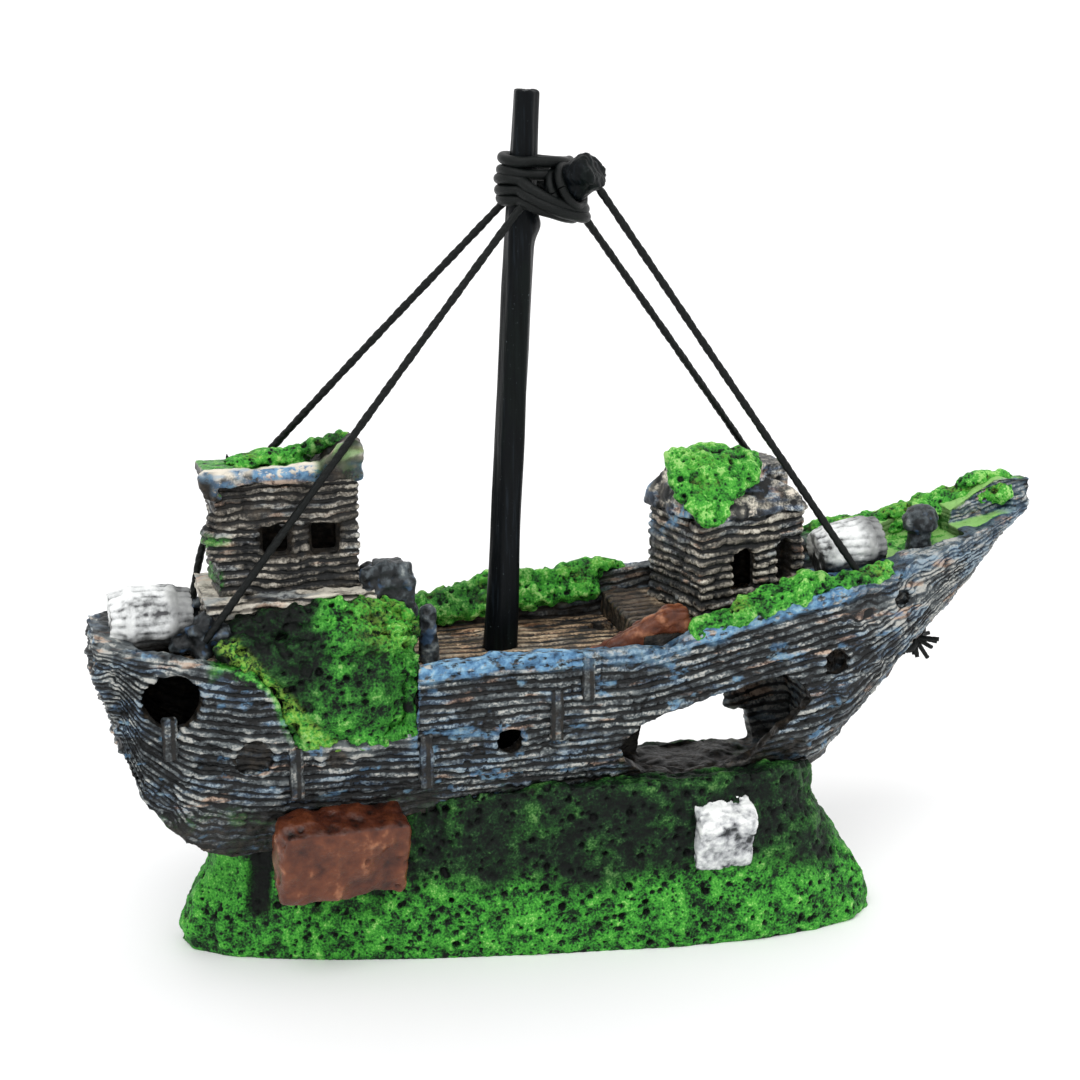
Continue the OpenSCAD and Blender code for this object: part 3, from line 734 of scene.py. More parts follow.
PLANK = 1.15
NEAR_SHEER = ([-70, -66, -47, -44, -42, -26, -25.5, -15, 4, 8, 13, 25, 42, 54, 70],
              [49.4, 48.8, 44.2, 40, 33.6, 33.6, 42.6, 43.4, 42.6, 42.2, 44.7, 47.4, 50.4, 53, 56.6])
FAR_SHEER = ([-70, -60, -30, -17, -9, 12, 42, 53, 61, 70],
             [46.6, 46.4, 43, 42.8, 46.4, 47, 51.4, 54.4, 59.2, 58.6])
FAIR_SHEER = ([-70, -47, -26, 4, 13, 25, 42, 54, 70],
              [49.6, 44.6, 43.0, 42.8, 44.6, 47.4, 50.4, 53.6, 57.6])
KEEL = ([-66, -64, -61, -56, -50, 30, 32, 66.3], [45, 36, 26.5, 20.5, 16.5, 16.5, 18, 55.6])


def sheer_at(p):
    return np.where(p[:, 1] < 0, np.interp(p[:, 0], *NEAR_SHEER), np.interp(p[:, 0], *FAR_SHEER))


def hull_planks(p):
    """How many planks a point lies below the fair sheer. They draw together towards the bow."""
    fair = np.interp(p[:, 0], *FAIR_SHEER)
    deep = np.maximum(fair - np.interp(p[:, 0], *KEEL), 3)
    closer = np.clip(27 / deep, 1, 1.9)
    wander = 0.5 * fbm(p * [0.4, 1, 1], 3.2, 7, 3) + 0.16 * fbm(p, 1.1, 9, 2)
    return ((fair - p[:, 2]) * closer + wander) / PLANK


def groove_of(planks, width=0.3):
    """1 in the middle of the gap between two planks."""
    phase = np.abs(planks - np.round(planks))
    return step(phase, width, 0.04)


# x, z and radius of the round ports on the near side
PORTS = [(-57, 40.8, 3.7), (-47, 32.6, 2.4), (-36.5, 31.2, 1.8), (-13.5, 31.4, 1.8), (32.4, 38.2, 1.7),
         (42.2, 46, 1.3)]


def hull_relief(p, n):
    x, y, z = p.T
    outward = np.maximum.reduce([n[:, 1] * np.sign(y), -n[:, 0] * (x < -60), n[:, 0] * (x > 40)])
    outside = step(outward, -0.05, 0.3)
    near = y < 0
    planks = hull_planks(p)
    row = np.round(planks + 0.5).astype(np.int64)
    below = sheer_at(p) - z
    rail = step(below, 2.2, 1.3) * step(below, -3, -0.5)
    rough = fbm(p, 1.2, 12, 3)
    fine = fbm(p, 0.6, 13, 2)
    lumps = fbm(p, 5.5, 4, 3)
    torn = step(fbm(p * [0.7, 1, 1], 5.0, 15, 3) + 0.5 * step(x, 30, 37) * step(x, 56, 48), 0.16, 0.42)
    clogged = step(fbm(p * [0.5, 1, 1], 2.6, 16, 2), -0.4, 0.2)
    gap = groove_of(planks) * (0.5 + 0.5 * clogged) * (1 - 0.8 * rail)
    gap *= 1 - 0.65 * torn
    lot = np.floor((x + 40 * hashed(row, 0, 0, 3)) / 11).astype(np.int64)
    plank_lift = hashed(row, lot, 0, 5) - 0.5
    cracks = step(np.abs(noise(p * [1.0, 1, 0.3], 2.0, 21)), 0.07, 0.0) * step(fbm(p, 4, 22, 2), -0.1, 0.3)
    chipped = pits(p * [0.6, 1, 1.2], 1.7, 24, 0.4)
    outer = (-0.42 * gap + 0.4 * plank_lift + 0.2 * rough + 0.1 * fine - 0.3 * cracks + 0.4 * lumps
             + 0.2 * rail - 0.3 * chipped)
    stern = step(x, -62, -65)
    outer += torn * (0.55 * fbm(p, 2.0, 18, 3) - 0.1)
    outer += stern * (1.3 * fbm(p * [1, 1, 1.8], 2.0, 33, 2) - 0.1)
    keel = step(z + 1.2 * lumps, 25.5, 21.5)
    breach = near * step(x, 1, 4) * step(x, 31, 27) * step(z, 28.5, 25.5)
    raw = np.maximum(keel, breach)
    outer = outer * (1 - raw) + raw * (0.8 * fbm(p, 3, 14, 3) + 0.3 * rough)
    floor = (1 - outside) * step(n[:, 2], 0.3, 0.6)
    inner = 0.65 * fbm(p, 3, 6, 3) - 0.1 + 0.2 * rough
    rise = outside * outer + (1 - outside) * inner
    height = (0.46 + 0.5 * rough + 0.35 * fine + 0.35 * lumps - 0.6 * cracks + 0.55 * plank_lift
              - 0.55 * chipped - 0.35 * gap)
    # paint along the rail
    wave = 0.8 * fbm(p, 3, 51, 2)
    span = np.where(near, step(x, -27.5, -25) * (1 - 0.6 * step(x, -5, -2) * step(x, 14, 11))
                    * (1 - 0.85 * step(x, 32, 38)), 0.5 * step(x, -14, -6) * outside)
    face = np.maximum(outside, step(n[:, 2], 0.2, 0.6))
    blue = span * step(below + wave, 2.6, 1.5) * face
    flecks = step(fbm(p * [0.6, 1, 1.6], 1.8, 53, 2), 0.42, 0.5)
    blue = np.maximum(blue, 0.6 * near * outside * step(x, 48, 40) * flecks)
    cream = near * step(x, -44, -48) * step(below, 1.5, 0.7)
    bow = step(x + 4 * fbm(p, 6, 57, 2), 38, 46)
    streaks = noise(p @ np.array([[0.8, 0, -0.25], [0, 1, 0], [0.6, 0, 0.6]]).T, 1.5, 58)
    height = height + 0.35 * cream + 0.2 * rail + bow * (0.34 + 0.4 * streaks) * outside
    # moss
    spill = near * step(np.abs(x + 47.5), 5.5, 3) * step(below + 1.4 * fbm(p, 2.5, 61, 2), 2.0, 0.6)
    far_top = (~near) * step(n[:, 2], 0.0, 0.5) * step(fbm(p, 4, 63, 2), -0.35, 0.0) * step(x, -34, -24)
    far_top = far_top * np.maximum(step(x, 6, 0), step(x, 34, 38))
    far_in = (~near) * (1 - outside) * step(below, 5.0, 2.0) * step(fbm(p, 3, 67, 2), 0.15, -0.1)
    far_in = far_in * step(x, -34, -24) * step(x, 8, 2)
    bow_in = (y > -3) * (1 - outside) * step(x, 36, 39) * step(x, 63, 60)
    far_in = np.maximum(far_in, bow_in)
    under = raw * step(fbm(p, 3.5, 65, 2), 0.0, 0.3) * (1 - breach)
    prow = step(x, 50, 53) * (1 - outside) * step(n[:, 2], 0.3, 0.6)
    height = height + 0.4 * prow
    height = height + 0.6 * far_in * step(x, 34, 38)
    moss = spill + far_top + far_in + 0.9 * under + prow * step(y + 0.8 * rough, 0.0, 0.8)
    # painted shade: the hold, the inner faces, the rings of the ports, the breach and the bottom of the hull
    # are darkened for shade; the far wall of the hold is painted lighter
    deep = step(z, DECK_TOP + 0.4, DECK_TOP - 0.6) * (1 - outside)
    lit_wall = deep * (~near) * step(x, 20, 23)
    height = height + 0.45 * lit_wall
    inside = (1 - outside) * step(n[:, 2], 0.6, 0.2) * np.where(near, 0.75, 0.6)
    ring = np.zeros(len(p))
    for port_x, port_z, radius in PORTS:
        away = np.hypot(x - port_x, z - port_z)
        rim = near * outside * step(away, radius + 1.2, radius + 0.5)
        rim = rim * step(away, radius - 0.2, radius + 0.3)
        height = height + 0.4 * rim
        rise = rise + 0.3 * rim
        ring = np.maximum(ring, near * step(away + 0.6 * rough, radius + 0.1, radius - 0.7) * 0.9)
    grime_and_shade = np.maximum.reduce([deep * (1 - 0.75 * lit_wall), inside * (1 - prow) * (1 - lit_wall), ring,
                              0.85 * breach, 0.55 * keel])
    dark = np.clip(grime_and_shade, 0, 1) * (1 - floor * (z > DECK_TOP))
    shade = np.clip(0.8 - 0.75 * raw, 0, 1)
    swirl = torn * outside * 1.6 * fbm(p * [0.8, 1, 1], 2.2, 19, 2)
    return rise, timber_masks(planks + swirl, height, dark, blue, moss, shade)


def ragged_breach():
    """Lumps of hull along the top and the bow end of the far opening, found by looking in from outside."""
    lumps = []
    for x, z in [(14, 33.8), (16, 34.2), (18, 34.4), (20, 34.8), (22, 35.0), (24, 35.4), (26, 35.8), (27, 34),
                 (27.4, 32), (27.8, 30), (28, 28), (28.2, 26)]:
        found, spot, _, _ = CAD["hull_shell"].ray_cast(Vector((x, 40, z)) * MM, Vector((0, -1, 0)))
        if found:
            inset = (1.3, 2.8) if x > 25.5 else (0,)
            lumps += [(x - shift, spot.y / MM - 1.4, z - (0.9 if z > 33 else 0), 1.6) for shift in inset]
    return blobs(*lumps)


def batten_relief(p, n):
    rough = fbm(p, 1.2, 12, 3)
    ribs = 0.5 * noise(p * [1, 1, 1.8], 1.6, 3)
    blue = 0.35 * step(p[:, 2], 40, 41.5)
    return 0.25 * rough + 0.2 * ribs, timber_masks(p[:, 0] / 1.3, 0.42 + 0.6 * rough, 0.35, blue)


def add_hull():
    nose = blobs((64.4, 0, 55.4, 1.8))
    carve_node("hull_shell", 0.25, hull_relief, TIMBER_HULL, extra=ragged_breach() + nose)
    carve_node("hull_battens", 0.22, batten_relief, TIMBER_HULL)


# ---- Decks and cabins ----------------------------------------------------------------------


def deck_relief(p, n):
    planks = (p[:, 1] + 0.25 * fbm(p * [0.2, 1, 1], 4, 3, 2)) / 1.7
    top = step(n[:, 2], 0.3, 0.7)
    rough = fbm(p * [0.4, 1, 1], 1.4, 5, 3)
    lumps = fbm(p, 5, 9, 2)
    rise = top * (-0.35 * groove_of(planks, 0.22) + 0.16 * rough + 0.25 * lumps)
    edge = np.maximum(step(np.abs(p[:, 1]), 8.5, 10.5), 1 - top)
    dark = 0.45 * step(lumps, 0.05, 0.4) + 0.6 * edge
    return rise, timber_masks(planks, 0.56 + 0.45 * rough + 0.3 * lumps, dark)


def fore_deck_relief(p, n):
    rise, masks = deck_relief(p, n)
    masks["dark"] = np.maximum(masks["dark"], 0.8 * step(p[:, 0] + 2 * fbm(p, 3, 17, 2), 13, 10))
    return rise + 0.6 * fbm(p, 2.6, 16, 3), masks


def stern_deck_relief(p, n):
    rise, masks = deck_relief(p, n)
    masks["dark"] = 0.55 + 0.4 * step(fbm(p, 4, 18, 2), -0.1, 0.2)
    return rise + 0.6 * fbm(p, 2.6, 19, 3), masks


def wall_relief(p, n, inside, pitch, seed, dark=0.0, moss=0.0, blue=0.0):
    """Rough horizontal boards. inside is 1 on the faces of the room within, which are painted dark as painted
    shade.
    """
    planks = (p[:, 2] + 0.6 * fbm(p * [0.6, 0.6, 1], 2.8, seed, 2) + 0.15 * fbm(p, 1, seed + 1, 1)) / pitch
    side = step(np.abs(n[:, 2]), 0.75, 0.4)
    lumps = fbm(p, 3.6, seed + 2, 3)
    rough = fbm(p, 1.1, seed + 3, 3)
    gap = groove_of(planks) * (0.5 + 0.5 * step(fbm(p, 3, seed + 4, 2), -0.5, 0.1))
    joint = step(np.abs(noise(p * [1, 1, 0.3], 2.4, seed + 6)), 0.07, 0.0)
    rise = (1 - inside) * (side * (-0.42 * gap - 0.25 * joint) + 0.5 * lumps + 0.28 * rough)
    height = 0.5 + 0.5 * rough + 0.35 * lumps - 0.4 * joint - 0.35 * gap
    return rise, timber_masks(planks, height, inside + dark, blue, moss, 0.6)


def cabin_frame(p):
    """Points of the fore cabin in its own turned frame."""
    origin = np.array([14.4, -7.0])
    turn = math.radians(14)
    flat = p[:, :2] - origin
    return np.stack([flat[:, 0] * math.cos(turn) + flat[:, 1] * math.sin(turn),
                     -flat[:, 0] * math.sin(turn) + flat[:, 1] * math.cos(turn), p[:, 2]], axis=1)


def depth_in(x, y, low, high):
    """How far a point lies inside the walls of an upright box."""
    return np.minimum.reduce([x - low[0], high[0] - x, y - low[1], high[1] - y])


def fore_cabin_relief(p, n):
    q = cabin_frame(p)
    room = step(depth_in(q[:, 0], q[:, 1], (0, 0), (17, 13.5)), 0.5, 1.0)
    corner = step(q[:, 2], 52, 56) * step(q[:, 0], 5, 1)
    blue = 0.8 * corner * step(fbm(p, 3, 71, 2), -0.05, 0.25)
    grime_and_shade = 0.45 * step(fbm(p, 3.5, 72, 3), 0.25, 0.5)
    rise, masks = wall_relief(p, n, room, 1.25, 40, grime_and_shade, 0.0, blue)
    # Faces turned towards the bow are painted lighter, a painted light on that side of the cabin
    masks["height"] = masks["height"] + 0.6 * step(n[:, 0], 0.1, 0.6) * step(n[:, 2], 0.8, 0.4)
    return rise, masks


def stern_cabin_relief(p, n):
    low, high = box_mm("stern_cabin")
    x, y, z = p.T
    room = step(depth_in(x, y, low, high), 0.5, 1.0)
    # The walls are painted darker just under the roof, a painted shadow, with patches of grime
    shadow_and_grime = 0.3 * step(z, 59.5, 61.5) + 0.5 * step(fbm(p, 3.5, 73, 3), 0.1, 0.4)
    moss = 0.9 * step(x, -47.6, -49.4) * step(z, 60.5, 59) * step(fbm(p, 3, 74, 2), -0.2, 0.1)
    # Around each window the wall is sunk a little and painted dark, a painted shade for the opening
    wear_and_shading = np.zeros(len(p))
    for window in (-42.1, -36.2):
        away = np.maximum(np.abs(x - window), np.abs(z - 58.8)) - 1.5
        wear_and_shading = np.maximum(wear_and_shading, step(away + 0.9 * fbm(p, 1.6, 76, 2), 1.3, 0.2) * (y < low[1] + 1.2))
    rise, masks = wall_relief(p, n, room, 1.1, 50, shadow_and_grime + 0.9 * wear_and_shading, moss)
    return rise - 0.45 * wear_and_shading, masks


def plinth_relief(p, n):
    ledge = step(p[:, 2] + 0.6 * fbm(p, 3, 84, 2), 48.8, 49.8)
    moss = (1 - ledge) * step(fbm(p, 4, 81, 2), -0.35, 0.15)
    rise, masks = wall_relief(p, n, np.zeros(len(p)), 1.2, 60, 0.5 * (1 - ledge), moss)
    masks["shade"] = 0.15 + 0.5 * ledge
    masks["dark"] = np.clip(masks["dark"] + 0.15 * step(fbm(p, 3, 82, 2), 0.2, 0.5), 0, 1)
    masks["height"] = masks["height"] + 0.75 * ledge
    return rise, masks


def roof_relief(p, n):
    low, high = box_mm("stern_cabin_roof")
    x, y, z = p.T
    top = step(n[:, 2], 0.3, 0.7)
    edge = step(y, low[1] + 1.8, low[1] + 0.6)
    rough = fbm(p, 1.2, 91, 3)
    lumps = fbm(p, 3.2, 93, 3)
    peak = step(x, high[0] - 6.5, high[0] - 5)
    broken = step(fbm(p * [0.7, 1, 1], 2.0, 94, 2), -0.15, 0.1) * step(z, low[2] + 2.8, low[2] + 2.0)
    blue = (1 - top) * edge * broken * 0.95 + 0.8 * peak * step(fbm(p, 2.5, 96, 2), 0.25, 0.4)
    lime = top * edge * step(fbm(p, 3, 95, 2), 0.1, 0.3)
    moss = top * step(y, low[1] + 1.0, low[1] + 2.0) + lime + peak * step(lumps, 0.0, 0.25) * 0.8
    height = 0.7 + 0.5 * rough + 0.3 * lumps + 1.0 * edge * step(z, low[2] + 0.9, low[2] + 1.8) - 0.6 * peak
    # Darker low on the side faces, at the stern end and in patches on the peak
    grime_and_shade = (1 - top) * (0.45 * step(z, low[2] + 1.4, low[2] + 0.4) + 0.7 * step(x, low[0] + 2, low[0]))
    grime_and_shade = np.maximum(grime_and_shade, 0.8 * peak * step(fbm(p, 1.8, 92, 3), 0.3, -0.1))
    rise = 0.5 * lumps + 0.25 * rough + 0.7 * peak * fbm(p, 2.0, 90, 3)
    return rise, timber_masks(0.5 + lumps, height, grime_and_shade, blue, moss, 0.7 - 0.35 * peak)


def fore_roof_relief(p, n):
    x, _, z = p.T
    rough = fbm(p, 1.2, 95, 3)
    lumps = fbm(p, 3.4, 97, 3)
    far, _ = cells(p, 2.6, 99)
    height = 0.56 + 0.5 * rough + 0.4 * lumps - 0.4 * step(far, 0.6, 0.8)
    blue = 0.9 * step(fbm(p, 3, 98, 2), 0.1, 0.3) * step(x, 18, 15) * step(z, 61.0, 59.5)
    dark = 0.6 * step(fbm(p, 3, 94, 2), 0.15, 0.4)
    rise = 0.75 * lumps + 0.3 * rough - 0.5 * (far - 0.5)
    return rise, timber_masks(0.5 + 1.3 * lumps, height, dark, blue, shade=0.8)


def stone_grey_relief(p, n):
    rough = fbm(p, 1.2, 101, 3)
    lumps = fbm(p, 3.0, 103, 3)
    return 0.7 * lumps + 0.3 * rough, {"height": 0.42 + 0.5 * rough + 0.35 * lumps}


def barrel_relief(axis_node, seed, direction):
    low, high = box_mm(axis_node)
    centre = (low + high) / 2

    def relief(p, n):
        along = (p - centre) @ direction
        across = np.linalg.norm((p - centre) - along[:, None] * direction, axis=1)
        hoops = step(np.abs(np.abs(along) - 2.7), 0.8, 0.3)
        round_way = np.arctan2(p[:, 1] - centre[1], p[:, 2] - centre[2])
        staves = round_way * across.max() / 1.25 + 0.25 * noise(p, 2.2, seed)
        groove = groove_of(staves, 0.28) * (1 - hoops)
        rough = fbm(p, 1.1, seed + 1, 3)
        rubbed = fbm(p * [0.6, 1, 1], 1.6, seed + 2, 3)
        ends = step(np.abs(n @ direction), 0.6, 0.9)
        tone = 0.5 + 0.4 * rough + 0.8 * rubbed - 0.26 * groove + 0.08 * hoops
        # under: the lower half is painted dark, a painted shadow; inboard: the end towards +along is painted
        # dark, partly smudges and partly painted shade
        under = step(p[:, 2] + 1.0 * rough, centre[2] - 0.4, centre[2] - 2.2)
        inboard = step(along + 1.6 * rough, 0.6, 3.4)
        dark = 0.75 * ends * step(rough, 0.1, -0.2) + 0.9 * under + 0.7 * inboard
        return 0.16 * hoops + 0.22 * rough - 0.14 * groove, {"height": tone, "dark": np.clip(dark, 0, 1)}

    return relief


def pad_relief(seed, dull=0.0, lime=0.4):
    """A cushion of moss: lumps, holes and fresh tips."""

    def relief(p, n):
        lumps = fbm(p, 3.0, seed, 3)
        hole = pits(p, 1.6, seed + 4, 0.65)
        small = pits(p, 0.95, seed + 8, 0.6)
        rough = fbm(p, 0.9, seed + 12, 2)
        rise = 0.45 * lumps + 0.35 * rough - 0.55 * hole - 0.35 * small
        height = 0.66 + 0.5 * rough + 0.35 * lumps - 0.6 * hole - 0.45 * small
        shade = np.clip(1 - dull * step(fbm(p, 5, seed + 3, 2), -0.1, 0.4), 0, 1)
        fresh = lime * step(n[:, 2], 0.1, 0.7) * step(fbm(p, 3, seed + 5, 2), 0.0, 0.3)
        return rise, {"height": height, "shade": shade, "fresh": fresh}

    return relief


def waist_relief(p, n):
    x, y, z = p.T
    lumps = fbm(p, 4.0, 7, 3)
    hole = pits(p, 2.0, 13, 0.6)
    small = pits(p, 1.1, 17, 0.7)
    rough = fbm(p, 1.0, 19, 2)
    rise = 0.9 * lumps + 0.45 * rough - 0.8 * hole - 0.45 * small
    face = step(n[:, 1], -0.2, -0.7)
    rise -= face * (1.5 * step(x, -31, -27.6) + 0.9 * step(z, 38, 34.5))
    # Under the cabin ledge the moss is painted darker, a painted shade
    ledge_shade = step(x + 3 * lumps, -38, -42.5) * step(z, 42, 45)
    height = 0.56 + 0.45 * rough + 0.35 * lumps - 0.6 * hole - 0.5 * small - 0.25 * ledge_shade
    shade = (0.25 + 0.35 * step(x, -42, -35) + 0.6 * lumps + 0.4 * step(z, 46, 50) * step(x, -41, -35)
             - 0.8 * ledge_shade)
    fresh = 0.4 * step(z + 1.5 * lumps, 44, 48) * step(x, -36, -29)
    brink = step(np.abs(x + 47.6 + 0.8 * (z - 45)), 2.4, 0.8) * step(y, -9.8, -11)
    fresh = np.maximum(fresh, 0.65 * brink)
    shade = np.maximum(shade, 0.8 * brink)
    return rise, {"height": height, "shade": np.clip(shade, 0.1, 1), "fresh": fresh}


def stick_relief(p, n):
    offset = p - MAST_POINT
    along = offset @ MAST_AXIS
    around = np.arctan2(offset[:, 1], offset[:, 0] - along * MAST_AXIS[0])
    facets = 0.1 * np.cos(5 * around + 0.06 * along)
    grain = noise(p * [1, 1, 0.08], 0.8, 3)
    knuckle = np.exp(-((along + 5.5) / 1.6) ** 2) * np.clip(np.cos(around + 0.2), 0, 1)
    kinks = 0.18 * noise(p * [0.05, 0.05, 1], 14, 5)
    return facets + 0.1 * grain + 0.75 * knuckle + kinks, {"height": 0.5 + 0.3 * grain}


def yard_relief(p, n):
    rough = fbm(p, 1.0, 9, 3)
    return 0.3 * rough + 0.25 * noise(p, 3, 4), {"height": 0.5 + 0.6 * rough}


def yard_head_relief(p, n):
    """The broken end of the yard is a little thicker than its foot."""
    rise, masks = yard_relief(p, n)
    return rise + 0.45 * step(p[:, 2], 102.5, 104), masks


def plank_relief(p, n):
    rough = fbm(p * [0.3, 1, 1], 1.2, 3, 3)
    grooves = groove_of((p[:, 1] + 0.2 * p[:, 2]) / 1.1, 0.2)
    bark = fbm(p * [0.6, 1, 1], 1.2, 6, 3)
    height = 0.75 + 0.6 * rough + 0.5 * bark - 0.3 * grooves
    return 0.45 + 0.4 * rough + 0.6 * bark - 0.18 * grooves, {"height": height}


def add_decks():
    carve_node("main_deck", 0.3, deck_relief, TIMBER_DECK)
    carve_node("fore_deck", 0.28, fore_deck_relief, TIMBER_DECK, smooth=6)
    carve_node("stern_deck", 0.3, stern_deck_relief, TIMBER_DECK)
    carve_node("fallen_plank", 0.22, plank_relief, GLAZE, smooth=4)


def add_cabins():
    carve_node("cabin_plinth", 0.26, plinth_relief, TIMBER_CABIN)
    bulge = blobs((-49.8, -3.6, 57.6, 1.5), (-50.2, -2.6, 59.6, 1.5), (-50.0, -3.4, 61.8, 1.1),
                  (-49.6, 2, 58.4, 1.6), (-32.2, -4.4, 57.4, 1.0))
    carve_node("stern_cabin", 0.25, stern_cabin_relief, TIMBER_CABIN, smooth=5, extra=bulge)
    beak = trail([(-49.8, -5.2, 68.0), (-51.2, -5.2, 67.6), (-51.0, -5.0, 66.4), (-49.6, -5.0, 65.0)],
                 0.8, 0.5)
    carve_node("stern_cabin_roof", 0.23, roof_relief, ROOF_PAINT, smooth=4, extra=beak)
    carve_node("fore_cabin", 0.25, fore_cabin_relief, TIMBER_CABIN, smooth=4)
    carve_node("fore_cabin_roof", 0.26, fore_roof_relief, ROOF_PAINT, smooth=4)
    carve_node("roof_hatch", 0.24, fore_roof_relief, ROOF_PAINT, smooth=6)


def add_fittings():
    along_keel = np.array([1.0, 0, 0])
    bow_way = np.array([math.sin(math.radians(80)), 0, math.cos(math.radians(80))])
    for node, seed, way in (("stern_barrel", 5, along_keel), ("bow_barrel", 25, bow_way)):
        carve_node(node, 0.22, barrel_relief(node, seed, way), PALE_BARREL, smooth=4)
    heap = blobs((-55.2, -7.6, 47.2, 1.6), (-53.6, -8.4, 48.6, 1.5), (-52.2, -7.6, 49.6, 1.5),
                 (-50.4, -8.2, 48.2, 1.6), (-52.6, -5.4, 47.4, 1.8), (-54.6, 6.2, 46.4, 1.4),
                 (-51.2, 7.0, 47.6, 1.3))
    carve_node("stern_cleats", 0.23, stone_grey_relief, DARK, smooth=5, extra=heap)
    rubble = blobs((-30.4, -5.2, 53.4, 1.5), (-28.4, -5.4, 54.0, 1.6), (-26.4, -5.0, 53.6, 1.5),
                   (-30.2, -5.8, 51.2, 1.5), (-26.2, -5.4, 51.0, 1.6), (-25.6, -4.8, 48.4, 1.5),
                   (-29.4, 0.4, 52, 1.8))
    carve_node("rubble_block", 0.24, stone_grey_relief, DARK, smooth=6, extra=rubble)
    carve_node("deck_post", 0.2, yard_relief, DARK)
    carve_node("bollard", 0.2, yard_relief, DARK)
    carve_node("mast", 0.26, stick_relief, STICK, smooth=4)
    carve_node("yard", 0.2, yard_head_relief, STICK, YARD, smooth=4)


# Trails of lumps that each moss pad is grown by: the radius, then the points
MOSS_TRAILS = {
    "waist_moss": [
        (1.9, (-47.6, -8, 48.2), (-40, -8, 49.6), (-34, -8, 50.0), (-29, -8, 48.8), (-26, -8.4, 46.6)),
        (1.25, (-50.4, -10.9, 46.6), (-46.4, -11.1, 44.0), (-43.0, -11.4, 40.6), (-41.6, -11.6, 35.4)),
        (2.4, (-47.6, -9.6, 46.2), (-43.6, -9.8, 44.6), (-34, -10.4, 46.8), (-27.6, -10.8, 45.0)),
        (2.0, (-42.6, -11.0, 42.8), (-37.0, -11.2, 42.8), (-32.0, -11.2, 42.8), (-27.4, -11.6, 42.0)),
        (1.9, (-40.4, -11.5, 38.4), (-34, -11.7, 39.2), (-27.8, -11.8, 38.8)),
        (1.2, (-39.8, -12.1, 34.9), (-36, -12.2, 33.9), (-31.6, -12.2, 34.2), (-28.6, -12.0, 34.8)),
    ],
    "near_bow_moss": [
        (0.9, (12, -12.0, 43.9), (17, -12.1, 45.2)),
        (1.5, (18, -12.0, 46.0), (24, -11.8, 47.8), (30, -11.3, 49.2)),
        (1.0, (30, -11.2, 49.0), (35, -10.8, 49.9), (40, -10.3, 50.6)),
        (1.3, (19, -10.6, 46.8), (24, -10.4, 48.4), (29, -10.1, 49.6)),
    ],
    "far_bow_moss": [
        (1.4, (38, 9.8, 50.2), (44, 8.8, 51.4), (50, 7.0, 53.2), (56, 4.7, 55.8), (63, 2.0, 58.0)),
        (1.5, (40, 8.4, 49.0), (46, 6.8, 50.8), (51, 5.2, 52.6), (57, 2.6, 55.4), (62, 0.6, 56.8)),
    ],
    "bulwark_moss": [
        (1.6, (-24, 11.4, 42.6), (-17, 11.5, 44.0), (-11, 11.4, 45.2), (-4, 11.2, 46.0), (5, 11.0, 46.2)),
        (1.6, (-24, 10.2, 42.4), (-15, 10.3, 42.8), (-8, 10.0, 43.8), (-2, 9.8, 44.0), (4, 9.8, 44.4)),
    ],
    "fore_roof_moss": [
        (1.3, (12.8, 0, 65.0), (16, 0, 65.2), (20, 0, 65.2), (24, 0, 64.7)),
        (1.5, (12.6, -1.8, 64.0), (16, -1.8, 64.4), (20, -1.8, 64.4), (23.4, -1.8, 64.2)),
        (1.5, (12.2, -3.6, 62.8), (15.4, -3.6, 63.2), (19, -3.6, 63.2), (21.8, -3.6, 63.1)),
        (1.5, (12.4, -5.2, 61.4), (15.2, -5.2, 61.8), (19.4, -5.2, 61.9)),
        (1.3, (13.0, -6.6, 60.2), (15.4, -6.8, 60.2), (18, -6.8, 60.6)),
        (1.1, (14.2, -7.6, 58.8), (15.6, -7.8, 58.0), (16.8, -7.6, 59.2)),
    ],
    "stern_roof_moss": [
        (1.0, (-46, -3.4, 68.9), (-42, -2.6, 69.4), (-38, -1.6, 70.0), (-33.4, -2.4, 71.2)),
    ],
}


def trails_on(node):
    return [ball for radius, *route in MOSS_TRAILS[node] for ball in trail(route, radius)]


def add_moss():
    carve_node("waist_moss", 0.23, waist_relief, PAD_MOSS, smooth=6, extra=trails_on("waist_moss"))
    pads = [("stern_roof_moss", 0.7, 0.5), ("fore_roof_moss", 0.0, 0.2), ("bulwark_moss", 0.5, 0.3),
            ("near_bow_moss", 0.2, 0.5), ("far_bow_moss", 0.0, 0.5)]
    for i, (node, dull, lime) in enumerate(pads):
        relief = pad_relief(10 + 20 * i, dull, lime)
        carve_node(node, 0.2, relief, PAD_MOSS, smooth=9, extra=trails_on(node))


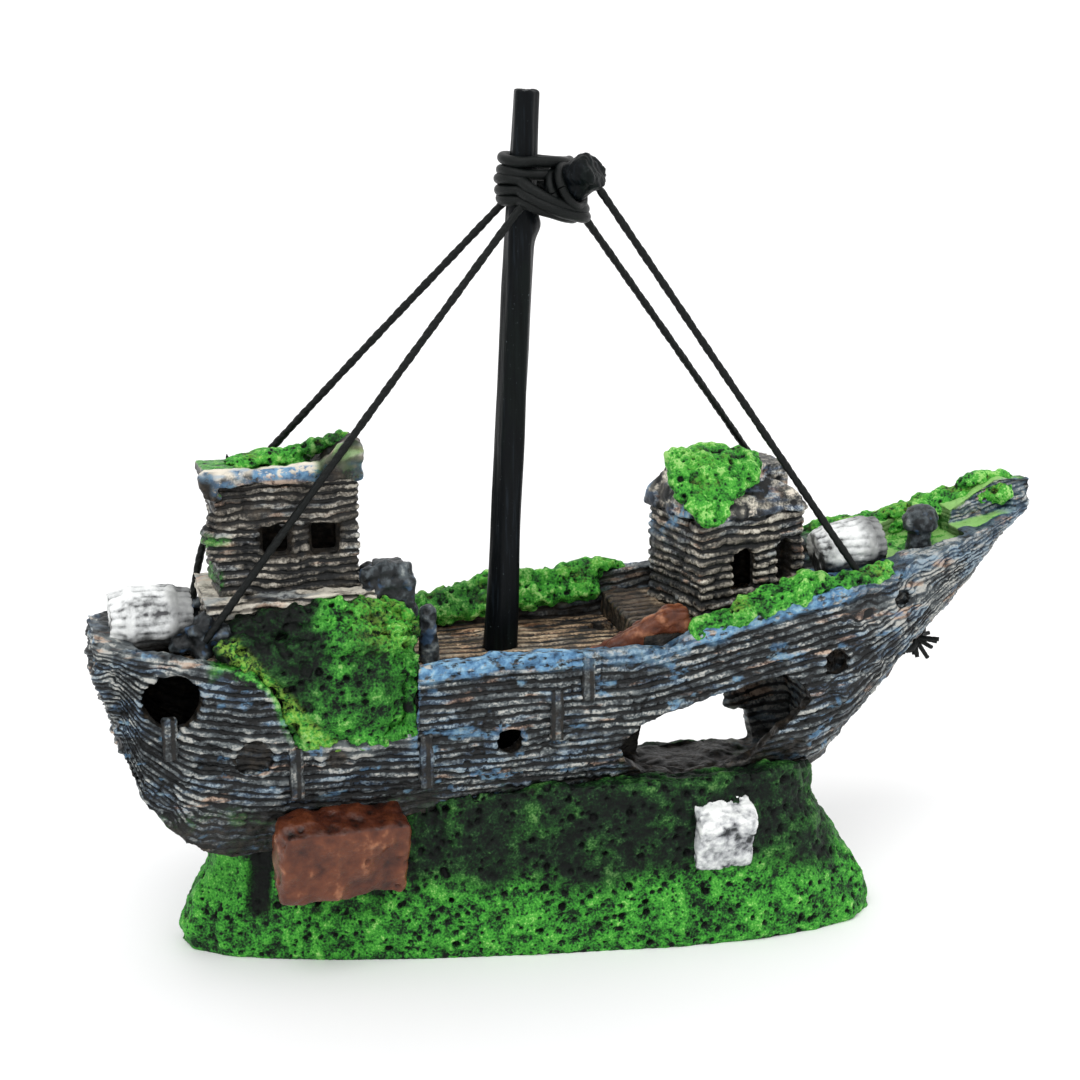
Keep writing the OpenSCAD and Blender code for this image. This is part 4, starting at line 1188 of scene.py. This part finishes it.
def add_air_parts():
    plastic = fitting_material("air_fitting", rgb(70, 78, 74), rgb(96, 106, 100), 0.35, 2.0)
    rubber = fitting_material("black_rubber", rgb(14, 14, 15), rgb(28, 28, 30), 0.7, 0.8)
    grit = fitting_material("air_stone_grit", rgb(84, 88, 92), rgb(150, 152, 150), 0.9, 0.5)
    for node, material in (("air_elbow", plastic), ("air_grommet", rubber)):
        CAD[node].data.materials.clear()
        CAD[node].data.materials.append(material)

    def grains(p, n):
        far, _ = cells(p, 0.7, 3)
        return 0.25 * (0.5 - far), {"height": 1 - far}

    carve_node("air_stone", 0.22, grains, grit)


# ---- Stage ---------------------------------------------------------------------------------


FLOOR = 30000


def add_floor():
    corners = [(-FLOOR, -FLOOR, 0), (FLOOR, -FLOOR, 0), (FLOOR, FLOOR, 0), (-FLOOR, FLOOR, 0)]
    mesh = mesh_from(corners, [(0, 1, 2, 3)], "floor")
    set_points(mesh, points_of(mesh) * MM)
    floor = bpy.data.objects.new("floor", mesh)
    bpy.context.scene.collection.objects.link(floor)
    paint = Paint("pale_floor", 0.6)
    paint.colour(paint.ramp(paint.noise(300, 2), (0.3, rgb(246, 246, 247)), (0.7, rgb(250, 250, 250))))
    mesh.materials.append(paint.material)


def add_sun(name, azimuth, elevation, strength, spread):
    """A large soft lamp far off. Azimuth 0 shines from the breach side, 90 from the bow."""
    lamp = bpy.data.lights.new(name, "SUN")
    lamp.energy, lamp.angle = strength, math.radians(spread)
    holder = bpy.data.objects.new(name, lamp)
    bpy.context.scene.collection.objects.link(holder)
    a, e = math.radians(azimuth), math.radians(elevation)
    source = Vector((math.sin(a) * math.cos(e), -math.cos(a) * math.cos(e), math.sin(e)))
    holder.rotation_mode = "QUATERNION"
    holder.rotation_quaternion = (-source).to_track_quat("-Z", "Y")


def add_light():
    world = bpy.data.worlds.new("studio")
    world.use_nodes = True
    bpy.context.scene.world = world
    background = world.node_tree.nodes["Background"]
    background.inputs["Color"].default_value = (1, 1, 1, 1)
    background.inputs["Strength"].default_value = 1.0
    add_sun("key", -30, 58, 1.05, 30)
    add_sun("fill", 50, 40, 0.25, 40)
    bpy.context.scene.view_settings.view_transform = "Standard"


add_camera()
add_stays()
add_lashing()
add_bow_knot()
add_rock()
add_stones()
add_hull()
add_decks()
add_cabins()
add_fittings()
add_moss()
add_air_parts()
add_floor()
add_light()
